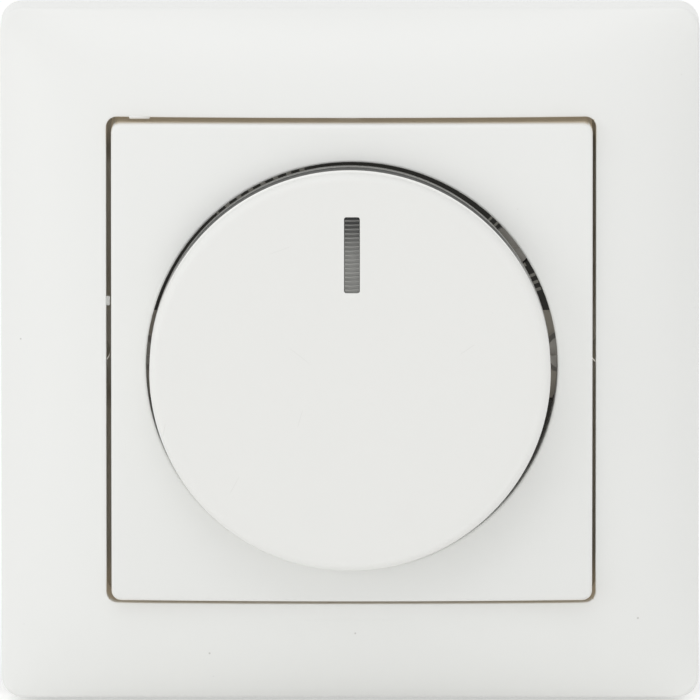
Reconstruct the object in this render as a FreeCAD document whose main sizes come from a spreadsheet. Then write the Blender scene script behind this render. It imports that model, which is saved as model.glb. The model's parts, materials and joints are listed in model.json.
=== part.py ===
import FreeCAD, Part
import math
import os
import Sketcher
from FreeCAD import Placement, Rotation, Vector

# Flush mounted rotary dimmer switch, in millimetres.
# Every piece is drawn as seen from the front: x to the right, y up, z out of the wall.
# The wall's surface is z = 0 and the control shaft lies on the z axis.
# FRONT then turns the drawing so that the row has +Z up and the knob looks along -Y.
FRONT = Placement(Vector(0, 0, 0), Rotation(Vector(1, 0, 0), 90))

SIZES = {
    # Cover frame
    "frame_width": 80.0,
    "frame_corner": 2.5,
    "frame_side": 6.0,
    "frame_rise": 7.3,
    "frame_dome_share": 0.4,
    "frame_wall": 1.9,
    "aperture_width": 56.1,
    "aperture_corner": 1.2,
    "collar_wall": 1.6,
    "cover_lift": 0.35,
    # Central plate
    "plate_gap": 0.55,
    "plate_corner": 1.1,
    "plate_top": 14.5,
    "plate_bow": 330.0,
    "plate_wall": 2.1,
    "plate_fall": 2.0,
    "plate_skirt_wall": 1.5,
    "plate_edge_round": 0.7,
    "plate_shift": 0.15,
    "ring_gap": 0.55,
    "ring_depth": 3.0,
    "ring_wall": 1.5,
    "ring_edge_round": 0.45,
    "screw_notch_width": 8.4,
    "screw_notch_height": 3.6,
    "leg_inner": 20.8,
    "leg_thickness": 1.5,
    "leg_low": 19.4,
    "leg_width": 5.0,
    "leg_hook": 0.9,
    "leg_land": 0.5,
    "leg_tip": 1.9,
    "leg_play": 0.3,
    # Knob
    "knob_width": 46.0,
    "knob_top": 19.6,
    "knob_end": 11.6,
    "knob_face": 2.0,
    "knob_wall": 1.8,
    "knob_edge_round": 0.9,
    "knob_end_round": 0.35,
    "knob_travel": 1.2,
    "hub_width": 11.0,
    "hub_depth": 6.6,
    "hub_roof": 0.6,
    "knob_rib_wall": 1.2,
    "knob_rib_depth": 3.0,
    "knob_ribs": 8,
    "knob_rib_turn": 22.5,
    "clip_wire": 0.8,
    "clip_rise": 1.6,
    "clip_turn": 300.0,
    "marker_width": 1.8,
    "marker_length": 8.9,
    "marker_centre": 13.45,
    "marker_corner": 0.25,
    "marker_play": 0.05,
    "marker_recess": 0.1,
    "marker_flange": 0.8,
    "marker_flange_depth": 1.0,
    "marker_foot": 1.7,
    "marker_pitch": 0.5,
    "marker_groove": 0.22,
    # Shaft and potentiometer
    "shaft_width": 6.0,
    "shaft_flat": 0.75,
    "shaft_play": 0.05,
    "shaft_top_gap": 0.2,
    "shaft_step": 3.0,
    "shaft_chamfer": 0.4,
    "shaft_flat_gap": 0.2,
    "tail_width": 4.0,
    "tail_flat": 0.5,
    "bush_width": 10.0,
    "bush_length": 6.1,
    "bush_chamfer": 0.5,
    "nut_flats": 14.0,
    "nut_height": 2.4,
    "nut_bevel": 0.9,
    "case_width": 16.0,
    "case_depth": 12.4,
    "case_wall": 1.0,
    "case_corner": 1.0,
    "case_play": 0.5,
    "chamber_width": 13.2,
    "track_height": 0.7,
    "track_width": 12.6,
    "track_bore": 8.0,
    "rotor_gap": 0.3,
    "rotor_height": 1.4,
    "rotor_width": 12.4,
    "slider_top": -3.4,
    "slider_height": 1.6,
    "slider_boss": 3.2,
    "slider_boss_depth": 0.8,
    "spring_width": 4.8,
    "spring_wire": 0.5,
    "spring_turns": 3.0,
    "contact_height": 1.3,
    "contact_place": 4.8,
    "contact_sheet": 0.6,
    "contact_width": 3.0,
    "contact_foot": 1.6,
    "contact_foot_height": 0.3,
    # Insert face
    "face_gap": 0.5,
    "face_height": 3.8,
    "face_wall": 1.6,
    "face_notch": 19.6,
    "face_notch_width": 10.4,
    "face_edge_round": 0.6,
    "face_ridge": 18.0,
    "face_ridge_wall": 0.5,
    "face_ridge_height": 0.5,
    "post_wall": 0.6,
    "lamp_width": 3.0,
    "lamp_place": 14.0,
    "lamp_top": 8.8,
    "lamp_play": 0.2,
    "lamp_foot": 0.4,
    "lamp_lead_pitch": 1.6,
    "lamp_lead_width": 0.5,
    # Support plate
    "support_gap": 2.6,
    "support_sheet": 1.2,
    "support_corner": 6.0,
    "support_lamp_play": 0.6,
    "latch_play": 0.45,
    "latch_end_play": 0.6,
    "box_spacing": 60.0,
    "box_hole": 3.6,
    "box_slot": 5.0,
    "ear_place": 5.0,
    "ear_sheet": 1.0,
    "ear_margin": 0.4,
    # Claws
    "claw_screw_place": 24.6,
    "claw_screw_width": 3.0,
    "claw_screw_head": 5.0,
    "claw_screw_head_height": 1.9,
    "claw_screw_length": 13.2,
    "claw_screw_play": 0.2,
    "claw_hole_play": 0.7,
    "screw_point": 0.4,
    "screw_head_round": 0.5,
    "screw_slot": 0.7,
    "screw_slot_depth": 1.0,
    "claw_pivot_place": 20.8,
    "claw_pivot_depth": 3.4,
    "claw_pin_width": 2.0,
    "claw_pin_play": 0.05,
    "claw_eye": 4.0,
    "claw_sheet": 1.2,
    "claw_width": 8.0,
    "claw_arm_end": 28.2,
    "claw_leg_end": 19.6,
    "claw_fork": 4.4,
    "claw_fork_reach": 1.4,
    "claw_fork_web": 0.6,
    "claw_tooth": 2.0,
    "claw_tooth_pitch": 1.8,
    "claw_tooth_point": 0.6,
    # Housing
    "housing_width": 56.0,
    "housing_flats": 44.0,
    "housing_depth": 22.0,
    "housing_wall": 1.6,
    "housing_edge_round": 1.0,
    "bay_inner": 17.8,
    "bay_width": 13.6,
    "boss_x": 18.4,
    "boss_y": 12.6,
    "boss_width": 4.6,
    "boss_length": 12.0,
    "boss_floor": 1.0,
    "fixing_width": 2.4,
    "fixing_head": 4.6,
    "fixing_head_height": 1.6,
    "fixing_length": 9.0,
    "fixing_play": 0.2,
    "fixing_sink": 0.2,
    "fixing_slot": 0.6,
    "fixing_slot_depth": 0.8,
    "vent_count": 5,
    "vent_pitch": 3.2,
    "vent_width": 1.4,
    "vent_length": 10.0,
    "vent_place": -11.0,
    # Circuit board and what it carries
    "board_width": 31.6,
    "board_height": 40.8,
    "board_sheet": 1.6,
    "board_corner": 1.5,
    "pin_pitch": 2.5,
    "pin_row": -6.4,
    "pin_width": 0.8,
    "pin_hole": 1.0,
    "pin_end": 0.5,
    "choke_x": -6.0,
    "choke_y": -9.0,
    "choke_ring": 10.4,
    "choke_core_share": 24.0,
    "choke_layer_share": 5.0,
    "choke_stand_share": 3.0,
    "choke_gap_share": 12.0,
    "choke_turn": 300.0,
    "choke_lead_width": 0.9,
    "film_x": -3.0,
    "film_y": 8.0,
    "film_length": 17.0,
    "film_width": 7.6,
    "film_gap": 1.8,
    "film_corner": 0.8,
    "storage_x": 6.3,
    "storage_y": -6.0,
    "storage_width": 5.8,
    "storage_gap": 2.4,
    "storage_bead": 0.3,
    "storage_bead_place": 1.0,
    "storage_chamfer": 0.4,
    "fuse_x": 12.6,
    "fuse_y": 0.0,
    "fuse_length": 20.0,
    "fuse_width": 5.0,
    "fuse_cap": 5.2,
    "fuse_rise": 0.8,
    "fuse_glass_step": 0.3,
    "holder_sheet": 0.5,
    "holder_width": 3.0,
    "holder_grip": 1.0,
    "holder_play": 0.05,
    "resistor_x": -12.0,
    "resistor_y": -16.0,
    "resistor_pitch": 3.4,
    "resistor_width": 2.2,
    "resistor_length": 6.4,
    "resistor_shoulder": 1.2,
    "resistor_stand": 0.2,
    "resistor_lead": 0.6,
    "resistor_foot": 0.5,
    # Power switch, fixed under the support plate
    "power_near": 9.5,
    "power_width": 10.0,
    "power_length": 9.2,
    "power_height": 4.4,
    "power_pin_width": 0.8,
    "power_pin_sheet": 0.6,
    "power_pin_depth": 2.1,
    "tab_hole_play": 0.3,
    "tab_length": 6.4,
    "tab_sheet": 1.3,
    "tab_screw_place": 22.0,
    "tab_screw_width": 2.8,
    "tab_screw_head": 5.4,
    "tab_screw_head_height": 2.0,
    # Terminals
    "block_width": 29.0,
    "block_height": 12.0,
    "block_low": 11.0,
    "block_depth": 9.0,
    "block_corner": 1.0,
    "block_wall": 1.6,
    "block_edge_round": 0.5,
    "terminal_pitch": 9.0,
    "entry_width": 3.2,
    "entry_length": 4.6,
    "entry_depth": 3.4,
    "cage_width": 6.2,
    "cage_height": 6.6,
    "cage_depth": 5.0,
    "cage_rise": 0.8,
    "cage_floor": 1.0,
    "cage_play": 0.15,
    "thread_play": 0.02,
    "clamp_screw_gap": 0.1,
    "clamp_screw_width": 3.2,
    "clamp_screw_head": 4.6,
    "clamp_screw_head_height": 1.8,
    "blade_width": 1.8,
    "blade_sheet": 0.8,
    "blade_slot_width": 2.4,
    "blade_slot_height": 1.6,
}

doc = FreeCAD.newDocument("rotary_dimmer")
sheet = doc.addObject("Spreadsheet::Sheet", "Sizes")
for row, (alias, amount) in enumerate(SIZES.items(), start=1):
    sheet.set(f"A{row}", alias.replace("_", " "))
    sheet.set(f"B{row}", str(amount))
    sheet.setAlias(f"B{row}", alias)
doc.recompute()


class Size:
    """A size as a formula on the spreadsheet, with its present amount."""

    def __init__(self, formula, amount):
        self.formula = formula
        self.amount = amount

    def __add__(self, other):
        other = sized(other)
        return Size(f"({self.formula} + {other.formula})", self.amount + other.amount)

    def __sub__(self, other):
        other = sized(other)
        return Size(f"({self.formula} - {other.formula})", self.amount - other.amount)

    def __mul__(self, other):
        other = sized(other)
        return Size(f"({self.formula} * {other.formula})", self.amount * other.amount)

    def __truediv__(self, other):
        other = sized(other)
        return Size(f"({self.formula} / {other.formula})", self.amount / other.amount)

    def __neg__(self):
        return Size(f"(0 - {self.formula})", -self.amount)

    def __radd__(self, other):
        return sized(other) + self

    def __rsub__(self, other):
        return sized(other) - self

    def __rmul__(self, other):
        return sized(other) * self


def sized(value):
    """A plain number as a Size."""
    if isinstance(value, Size):
        return value
    return Size(repr(float(value)), float(value))


def size(alias):
    """The Size of one cell of the spreadsheet."""
    return Size(f"Sizes.{alias}", float(sheet.get(alias)))


# Levels above the wall, and sizes that several pieces share
support_top = size("support_sheet")
face_top = support_top + size("face_height")
face_under = face_top - size("face_wall")
case_back = face_under - size("case_depth")
chamber_top = face_under - size("case_wall")
chamber_floor = case_back + size("case_wall")
bush_top = face_under + size("bush_length")
knob_under = size("knob_top") - size("knob_face")
hub_end = knob_under - size("hub_depth")
hub_floor = knob_under + size("hub_roof")
shaft_top = hub_floor - size("shaft_top_gap")
slider_floor = size("slider_top") - size("slider_height")
board_top = case_back
board_back = board_top - size("board_sheet")
housing_back = -size("housing_depth")
chamber_back = housing_back + size("housing_wall")
knob_radius = size("knob_width") / 2
knob_inside = knob_radius - size("knob_wall")
shaft_radius = size("shaft_width") / 2
shaft_flat = shaft_radius - size("shaft_flat")
tail_radius = size("tail_width") / 2
tail_flat = tail_radius - size("tail_flat")
bush_radius = size("bush_width") / 2
plate_width = size("aperture_width") - 2 * size("plate_gap")
plate_under = size("plate_top") - size("plate_wall") - size("plate_fall")
claw_x = size("claw_screw_place")
pivot_x = size("claw_pivot_place")
pivot_z = -size("claw_pivot_depth")
fixing_seat = face_top - size("fixing_head_height") - size("fixing_sink")
cage_low = size("block_low") + size("cage_rise")
cage_mid = cage_low + size("cage_height") / 2
block_back = housing_back - size("block_depth")
cage_top = housing_back - size("block_wall")
cage_back = cage_top - size("cage_depth")
entry_z = housing_back - size("entry_depth")
face_radius = plate_width / 2 - size("plate_skirt_wall") - size("face_gap")
support_width = size("frame_width") - 2 * (size("frame_wall") + size("support_gap"))
storey = board_back - chamber_back
choke_shares = size("choke_core_share") + 2 * size("choke_layer_share") + size("choke_stand_share")
choke_part = storey / (choke_shares + size("choke_gap_share"))
choke_core = choke_part * size("choke_core_share")
choke_layer = choke_part * size("choke_layer_share")
choke_stand = choke_part * size("choke_stand_share")

# How far cuts run past what they cut, how deep joined solids run into each other, what keeps
# the straight sides of a round ended slot from vanishing, and how few sides stand for a curve
OVERSHOOT = 1.0
MERGE = 0.5
SLIVER = 0.0005
SPRING_STEPS = 12
SPRING_SIDES = 6
EDGE_SIDES = 4
RING_SIDES = 8
QUARTER = 90

pieces = []


def bind(thing, path, value):
    """Tie one property to its formula on the spreadsheet."""
    thing.setExpression(path, sized(value).formula)


def keep(piece, label):
    """Name a finished sub-part and list it for export."""
    piece.Label = label
    pieces.append(piece)
    return piece


def new_body(name, placement=FRONT):
    body = doc.addObject("PartDesign::Body", name)
    body.Placement = placement
    return body


def origin_feature(body, role):
    return next(item for item in body.Origin.OriginFeatures if item.Role == role)


def new_sketch(body, name, level=0, role="XY_Plane", turn=0):
    """A sketch on one of the body's own planes, lifted by level and turned in its plane."""
    sketch = body.newObject("Sketcher::SketchObject", f"{body.Name}_{name}")
    sketch.AttachmentSupport = [(origin_feature(body, role), "")]
    sketch.MapMode = "FlatFace"
    sketch.AttachmentOffset = Placement(Vector(0, 0, 0), Rotation(Vector(0, 0, 1), turn))
    bind(sketch, "AttachmentOffset.Base.z", level)
    return sketch


def fix(sketch, kind, geometry, point, value):
    value = sized(value)
    rule = Sketcher.Constraint(kind, -1, 1, geometry, point, value.amount)
    index = sketch.addConstraint(rule)
    sketch.setExpression(f"Constraints[{index}]", value.formula)


def fix_point(sketch, geometry, point, x, y):
    fix(sketch, "DistanceX", geometry, point, x)
    fix(sketch, "DistanceY", geometry, point, y)


def fix_radius(sketch, geometry, radius):
    radius = sized(radius)
    index = sketch.addConstraint(Sketcher.Constraint("Radius", geometry, radius.amount))
    sketch.setExpression(f"Constraints[{index}]", radius.formula)


def polygon(sketch, corners):
    """A closed outline of straight lines through the corners."""
    corners = [(sized(x), sized(y)) for x, y in corners]
    spots = [Vector(x.amount, y.amount, 0) for x, y in corners]
    first = sketch.GeometryCount
    count = len(spots)
    for index in range(count):
        sketch.addGeometry(Part.LineSegment(spots[index], spots[(index + 1) % count]), False)
    for index in range(count):
        following = first + (index + 1) % count
        sketch.addConstraint(Sketcher.Constraint("Coincident", first + index, 2, following, 1))
    for index, (x, y) in enumerate(corners):
        fix_point(sketch, first + index, 1, x, y)


def box(sketch, left, right, low, high):
    polygon(sketch, [(left, low), (right, low), (right, high), (left, high)])


def disc(sketch, radius, x=0, y=0):
    x, y = sized(x), sized(y)
    ring = Part.Circle(Vector(x.amount, y.amount, 0), Vector(0, 0, 1), sized(radius).amount)
    index = sketch.addGeometry(ring, False)
    fix_point(sketch, index, 3, x, y)
    fix_radius(sketch, index, radius)


def arc_between(sketch, x, y, radius, start, end):
    """An arc about a centre, between two angles in degrees."""
    ring = Part.Circle(Vector(x, y, 0), Vector(0, 0, 1), radius)
    arc = Part.ArcOfCircle(ring, math.radians(start), math.radians(end))
    return sketch.addGeometry(arc, False)


def rounded_box(sketch, width, height, radius, x=0, y=0):
    """A rectangle about (x, y) with round corners."""
    width, height, radius, x, y = (sized(value) for value in (width, height, radius, x, y))
    right = x + width / 2
    left = x - width / 2
    top = y + height / 2
    low = y - height / 2
    inset = radius.amount
    sides = [
        (Vector(left.amount + inset, low.amount, 0), Vector(right.amount - inset, low.amount, 0)),
        (Vector(right.amount, low.amount + inset, 0), Vector(right.amount, top.amount - inset, 0)),
        (Vector(right.amount - inset, top.amount, 0), Vector(left.amount + inset, top.amount, 0)),
        (Vector(left.amount, top.amount - inset, 0), Vector(left.amount, low.amount + inset, 0)),
    ]
    centres = [
        (right.amount - inset, low.amount + inset),
        (right.amount - inset, top.amount - inset),
        (left.amount + inset, top.amount - inset),
        (left.amount + inset, low.amount + inset),
    ]
    lines = [sketch.addGeometry(Part.LineSegment(*side), False) for side in sides]
    arcs = []
    for quarter, centre in enumerate(centres):
        start = QUARTER * (quarter - 1)
        arcs.append(arc_between(sketch, *centre, inset, start, start + QUARTER))
    for quarter in range(4):
        following = lines[(quarter + 1) % 4]
        sketch.addConstraint(Sketcher.Constraint("Tangent", lines[quarter], 2, arcs[quarter], 1))
        sketch.addConstraint(Sketcher.Constraint("Tangent", arcs[quarter], 2, following, 1))
    for quarter, way in enumerate(("Horizontal", "Vertical", "Horizontal", "Vertical")):
        sketch.addConstraint(Sketcher.Constraint(way, lines[quarter]))
    for arc in arcs[1:]:
        sketch.addConstraint(Sketcher.Constraint("Equal", arcs[0], arc))
    fix_radius(sketch, arcs[0], radius)
    fix(sketch, "DistanceY", lines[0], 1, low)
    fix(sketch, "DistanceX", lines[1], 1, right)
    fix(sketch, "DistanceY", lines[2], 1, top)
    fix(sketch, "DistanceX", lines[3], 1, left)


def flat_sided_disc(sketch, radius, half_flat):
    """A disc with two straight sides at x = plus and minus half_flat."""
    radius, half_flat = sized(radius), sized(half_flat)
    angle = math.degrees(math.acos(half_flat.amount / radius.amount))
    reach = radius.amount * math.sin(math.radians(angle))
    side = half_flat.amount
    right = sketch.addGeometry(Part.LineSegment(Vector(side, -reach, 0), Vector(side, reach, 0)), False)
    upper = arc_between(sketch, 0, 0, radius.amount, angle, 180 - angle)
    left = sketch.addGeometry(Part.LineSegment(Vector(-side, reach, 0), Vector(-side, -reach, 0)), False)
    lower = arc_between(sketch, 0, 0, radius.amount, 180 + angle, 360 - angle)
    chain = [(right, upper), (upper, left), (left, lower), (lower, right)]
    for one, other in chain:
        sketch.addConstraint(Sketcher.Constraint("Coincident", one, 2, other, 1))
    for arc in (upper, lower):
        fix_point(sketch, arc, 3, 0, 0)
        fix_radius(sketch, arc, radius)
    fix(sketch, "DistanceX", right, 1, half_flat)
    fix(sketch, "DistanceX", left, 1, -half_flat)
    for line in (right, left):
        sketch.addConstraint(Sketcher.Constraint("Vertical", line))


def feature(body, kind, name, sketch):
    item = body.newObject(f"PartDesign::{kind}", f"{body.Name}_{name}")
    item.Profile = sketch
    return item


def pad(body, name, sketch, length, back=False, both=False):
    """Raise a sketch along its normal, backwards, or half to each side."""
    item = feature(body, "Pad", name, sketch)
    bind(item, "Length", length)
    item.Reversed = back
    item.Midplane = both
    return item


def pocket(body, name, sketch, length, front=False, both=False):
    """Cut a sketch backwards, or to the front, and see that it took something away."""
    doc.recompute()
    before = body.Shape.Volume
    item = feature(body, "Pocket", name, sketch)
    bind(item, "Length", length)
    item.Reversed = front
    item.Midplane = both
    doc.recompute()
    if body.Shape.Volume >= before:
        raise RuntimeError(f"{item.Name} cuts nothing")
    return item


def revolve(body, name, sketch, angle=360):
    item = feature(body, "Revolution", name, sketch)
    item.ReferenceAxis = (sketch, ["V_Axis"])
    item.Angle = angle
    return item


def around(body, name, originals, count):
    item = body.newObject("PartDesign::PolarPattern", f"{body.Name}_{name}")
    item.Originals = originals
    item.Axis = (origin_feature(body, "Z_Axis"), [""])
    item.Angle = 360
    bind(item, "Occurrences", count)
    body.Tip = item
    doc.recompute()
    return item


def in_line(body, name, originals, axis, length, count):
    item = body.newObject("PartDesign::LinearPattern", f"{body.Name}_{name}")
    item.Originals = originals
    item.Direction = (origin_feature(body, axis), [""])
    bind(item, "Length", length)
    bind(item, "Occurrences", count)
    body.Tip = item
    doc.recompute()
    return item


def soften(body, name, radius, chosen, kind="Fillet"):
    """Round or chamfer the edges of the body that the test chooses."""
    doc.recompute()
    base = body.Tip
    names = [f"Edge{n}" for n, edge in enumerate(base.Shape.Edges, start=1) if chosen(edge)]
    item = body.newObject(f"PartDesign::{kind}", f"{body.Name}_{name}")
    item.Base = (base, names)
    bind(item, "Radius" if kind == "Fillet" else "Size", radius)
    doc.recompute()
    return item


def level_edge(level, smallest=0.0, largest=1000.0):
    """A test for edges that lie at one level, between two distances from the axis."""
    level, smallest, largest = (sized(value).amount for value in (level, smallest, largest))

    def chosen(edge):
        limits = edge.BoundBox
        flat = abs(limits.ZMin - level) < 0.01 and abs(limits.ZMax - level) < 0.01
        middle = edge.valueAt((edge.FirstParameter + edge.LastParameter) / 2)
        reach = math.hypot(middle.x, middle.y)
        return flat and smallest - 0.01 <= reach <= largest + 0.01

    return chosen


def eased(reach, top, radius):
    """The points of a rounded corner, from its wall to its top, drawn with a few straight sides."""
    points = []
    for step in range(EDGE_SIDES + 1):
        angle = math.radians(QUARTER * step / EDGE_SIDES)
        points.append((reach - radius * (1 - math.cos(angle)), top - radius * (1 - math.sin(angle))))
    return points


def ring_bar(place, ring, reach, turn):
    """A many sided bar bent round an upright axis, for a torus with few faces."""
    corners = []
    for side in range(RING_SIDES + 1):
        angle = math.radians(360 * side / RING_SIDES)
        corners.append(place + Vector(ring + reach * math.cos(angle), 0, reach * math.sin(angle)))
    return Part.Face(Part.makePolygon(corners)).revolve(place, Vector(0, 0, 1), turn)


def group(label, shapes):
    """Several separate solids in one node."""
    node = doc.addObject("Part::Feature", label)
    node.Shape = Part.Compound(shapes)
    node.Placement = FRONT
    return keep(node, label)


def block(left, right, low, high, back, front):
    """A plain box between six sizes, for pieces made of Part shapes."""
    left, right, low, high, back, front = (sized(v).amount for v in (left, right, low, high, back, front))
    return Part.makeBox(right - left, high - low, front - back, Vector(left, low, back))


def rod(radius, start, end):
    """A round bar between two points given as sizes."""
    start = Vector(*(sized(value).amount for value in start))
    end = Vector(*(sized(value).amount for value in end))
    return Part.makeCylinder(sized(radius).amount, (end - start).Length, start, end - start)


# Cover frame: the pillow shaped face is the feature that takes the most skill


def pillow(name, half, lowered):
    """A square prism under the frame's double curved face, which is level along its rim.

    The height is side + rise * g(x) * g(y), where g falls from 1 in the middle to 0 at the rim.
    """
    half = sized(half).amount
    reach = size("frame_width").amount / 2
    side = size("frame_side").amount - sized(lowered).amount
    rise = size("frame_rise").amount
    share = size("frame_dome_share").amount
    grid = 12

    def fall(place):
        ratio = place / reach
        return 1 - share * ratio ** 2 - (1 - share) * ratio ** 8

    steps = [reach * (2 * n / grid - 1) for n in range(grid + 1)]
    rows = [[Vector(x, y, side + rise * fall(x) * fall(y)) for y in steps] for x in steps]
    face = Part.BSplineSurface()
    face.interpolate(rows)
    tall = side + rise + OVERSHOOT
    above = face.toShape().extrude(Vector(0, 0, tall))
    low = -sized(lowered).amount
    prism = Part.makeBox(2 * half, 2 * half, tall - low, Vector(-half, -half, low))
    item = doc.addObject("Part::Feature", name)
    item.Shape = prism.cut(above)
    return item


def combine(kind, name, base, tool):
    item = doc.addObject(f"Part::{kind}", name)
    item.Base = base
    item.Tool = tool
    return item


def screw_notches(body, inner, outer):
    """Openings low in the middle of all four sides, for the heads of the screws below."""
    notch = new_sketch(body, "screw_notch", support_top)
    half = size("screw_notch_width") / 2
    box(notch, inner - OVERSHOOT, outer + OVERSHOOT, -half, half)
    first = pocket(body, "first_screw_notch", notch, size("screw_notch_height"), front=True)
    around(body, "screw_notches", [first], 4)


def cover_frame():
    half = size("frame_width") / 2
    outside = new_body("frame_outline", Placement())
    outline = new_sketch(outside, "outline")
    rounded_box(outline, size("frame_width"), size("frame_width"), size("frame_corner"))
    pad(outside, "block", outline, size("frame_side") + size("frame_rise"))
    crowned = combine("Common", "frame_crowned", outside, pillow("frame_crown", half, 0))

    hollow = pillow("frame_hollow_crown", half - size("frame_wall"), size("frame_wall"))
    collar = new_body("frame_collar", Placement())
    ring = new_sketch(collar, "outline", support_top)
    collar_width = size("aperture_width") + 2 * size("collar_wall")
    rounded_box(ring, collar_width, collar_width, size("aperture_corner") + size("collar_wall"))
    pad(collar, "block", ring, size("frame_side") + size("frame_rise"))
    screw_notches(collar, size("aperture_width") / 2, collar_width / 2)
    inside = combine("Cut", "frame_hollow", hollow, collar)

    aperture = new_body("frame_aperture", Placement())
    opening = new_sketch(aperture, "outline", -OVERSHOOT)
    rounded_box(opening, size("aperture_width"), size("aperture_width"), size("aperture_corner"))
    pad(aperture, "block", opening, size("frame_side") + size("frame_rise") + 2 * OVERSHOOT)
    shell = combine("Cut", "frame_shell", crowned, inside)
    frame = combine("Cut", "cover_frame", shell, aperture)
    frame.Placement = Placement(Vector(0, 0, size("cover_lift").amount), FRONT.Rotation)
    return keep(frame, "cover_frame")


def central_plate():
    body = new_body("central_plate")
    lift = size("cover_lift")
    shift = size("plate_shift")
    body.Placement = Placement(Vector(shift.amount, 0, lift.amount), FRONT.Rotation)
    base = new_sketch(body, "outline", support_top)
    rounded_box(base, plate_width, plate_width, size("plate_corner"))
    pad(body, "block", base, size("plate_top"))

    dome = new_sketch(body, "dome", 0, "XZ_Plane")
    reach = plate_width
    centre = size("plate_top") - size("plate_bow")
    angle = math.degrees(math.asin(reach.amount / size("plate_bow").amount))
    arc = arc_between(dome, 0, centre.amount, size("plate_bow").amount, 90 - angle, 90)
    rim = centre.amount + size("plate_bow").amount * math.cos(math.radians(angle))
    high = size("plate_top") + 2 * OVERSHOOT
    spots = [Vector(0, size("plate_top").amount, 0), Vector(0, high.amount, 0),
             Vector(reach.amount, high.amount, 0), Vector(reach.amount, rim, 0)]
    lines = [dome.addGeometry(Part.LineSegment(one, other), False) for one, other in zip(spots, spots[1:])]
    dome.addConstraint(Sketcher.Constraint("Coincident", arc, 2, lines[0], 1))
    dome.addConstraint(Sketcher.Constraint("Coincident", lines[0], 2, lines[1], 1))
    dome.addConstraint(Sketcher.Constraint("Coincident", lines[1], 2, lines[2], 1))
    dome.addConstraint(Sketcher.Constraint("Coincident", lines[2], 2, arc, 1))
    dome.addConstraint(Sketcher.Constraint("Vertical", lines[2]))
    fix_point(dome, arc, 3, 0, centre)
    fix_radius(dome, arc, size("plate_bow"))
    fix(dome, "DistanceX", lines[0], 1, 0)
    fix_point(dome, lines[1], 1, 0, high)
    fix_point(dome, lines[1], 2, reach, high)
    crown = feature(body, "Groove", "crown", dome)
    crown.ReferenceAxis = (dome, ["V_Axis"])
    crown.Angle = 360

    floor = plate_under.amount
    soften(body, "edge", size("plate_edge_round"), lambda edge: edge.BoundBox.ZMin > floor, "Chamfer")

    inside = new_sketch(body, "inside", support_top)
    inner = plate_width - 2 * size("plate_skirt_wall")
    rounded_box(inside, inner, inner, size("plate_corner"))
    pocket(body, "hollow", inside, plate_under - support_top, front=True)

    hole = knob_radius + size("ring_gap")
    rim_sketch = new_sketch(body, "ring", plate_under + MERGE)
    disc(rim_sketch, hole + size("ring_wall"))
    pad(body, "collar", rim_sketch, size("ring_depth"), back=True)
    bore = new_sketch(body, "bore", size("plate_top") + OVERSHOOT)
    disc(bore, hole)
    pocket(body, "hole", bore, size("plate_top"))
    across = 2 * hole.amount
    soften(body, "hole_edge", size("ring_edge_round"),
           lambda edge: edge.BoundBox.ZMin > floor and abs(edge.BoundBox.XLength - across) < MERGE,
           "Chamfer")
    screw_notches(body, inner / 2, plate_width / 2)

    leg = new_sketch(body, "leg", -(size("leg_low") + size("leg_width") / 2), "XZ_Plane")
    inner_x = size("leg_inner")
    outer_x = inner_x + size("leg_thickness")
    shelf = -size("leg_play")
    tip = shelf - size("leg_tip")
    polygon(leg, [
        (inner_x, plate_under + MERGE), (inner_x, tip), (outer_x, tip),
        (outer_x + size("leg_hook"), shelf - size("leg_land")), (outer_x + size("leg_hook"), shelf),
        (outer_x, shelf), (outer_x, plate_under + MERGE),
    ])
    legs = pad(body, "leg_pad", leg, size("leg_width"), both=True)
    around(body, "legs", [legs], 4)
    return keep(body, "central_plate")


def rotary_knob():
    body = new_body("rotary_knob")
    profile = new_sketch(body, "profile", 0, "XZ_Plane")
    hub = size("hub_width") / 2
    bore = shaft_radius + size("shaft_play")
    polygon(profile, [
        (bore, hub_end), (hub, hub_end), (hub, knob_under), (knob_inside, knob_under),
        (knob_inside, size("knob_end")), (knob_radius, size("knob_end")),
        *eased(knob_radius, size("knob_top"), size("knob_edge_round")),
        (0, size("knob_top")), (0, hub_floor), (bore, hub_floor),
    ])
    revolve(body, "cup", profile)
    rim = level_edge(size("knob_end"), knob_radius, knob_radius)
    soften(body, "end", size("knob_end_round"), rim, "Chamfer")

    key = new_sketch(body, "key", hub_end)
    wide = shaft_radius
    box(key, -wide, wide, shaft_flat + size("shaft_play"), shaft_radius + MERGE)
    pad(body, "key_pad", key, hub_floor - hub_end)

    rib = new_sketch(body, "rib", knob_under + MERGE, turn=SIZES["knob_rib_turn"])
    half = size("knob_rib_wall") / 2
    box(rib, hub - MERGE, knob_inside + MERGE, -half, half)
    ribs = pad(body, "rib_pad", rib, size("knob_rib_depth") + MERGE, back=True)
    around(body, "ribs", [ribs], size("knob_ribs"))

    slot = new_sketch(body, "slot", knob_under - OVERSHOOT)
    rounded_box(slot, size("marker_width"), size("marker_length"), size("marker_corner"),
                0, size("marker_centre"))
    pocket(body, "marker_slot", slot, size("knob_face") + 2 * OVERSHOOT, front=True)
    return keep(body, "rotary_knob")


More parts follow.
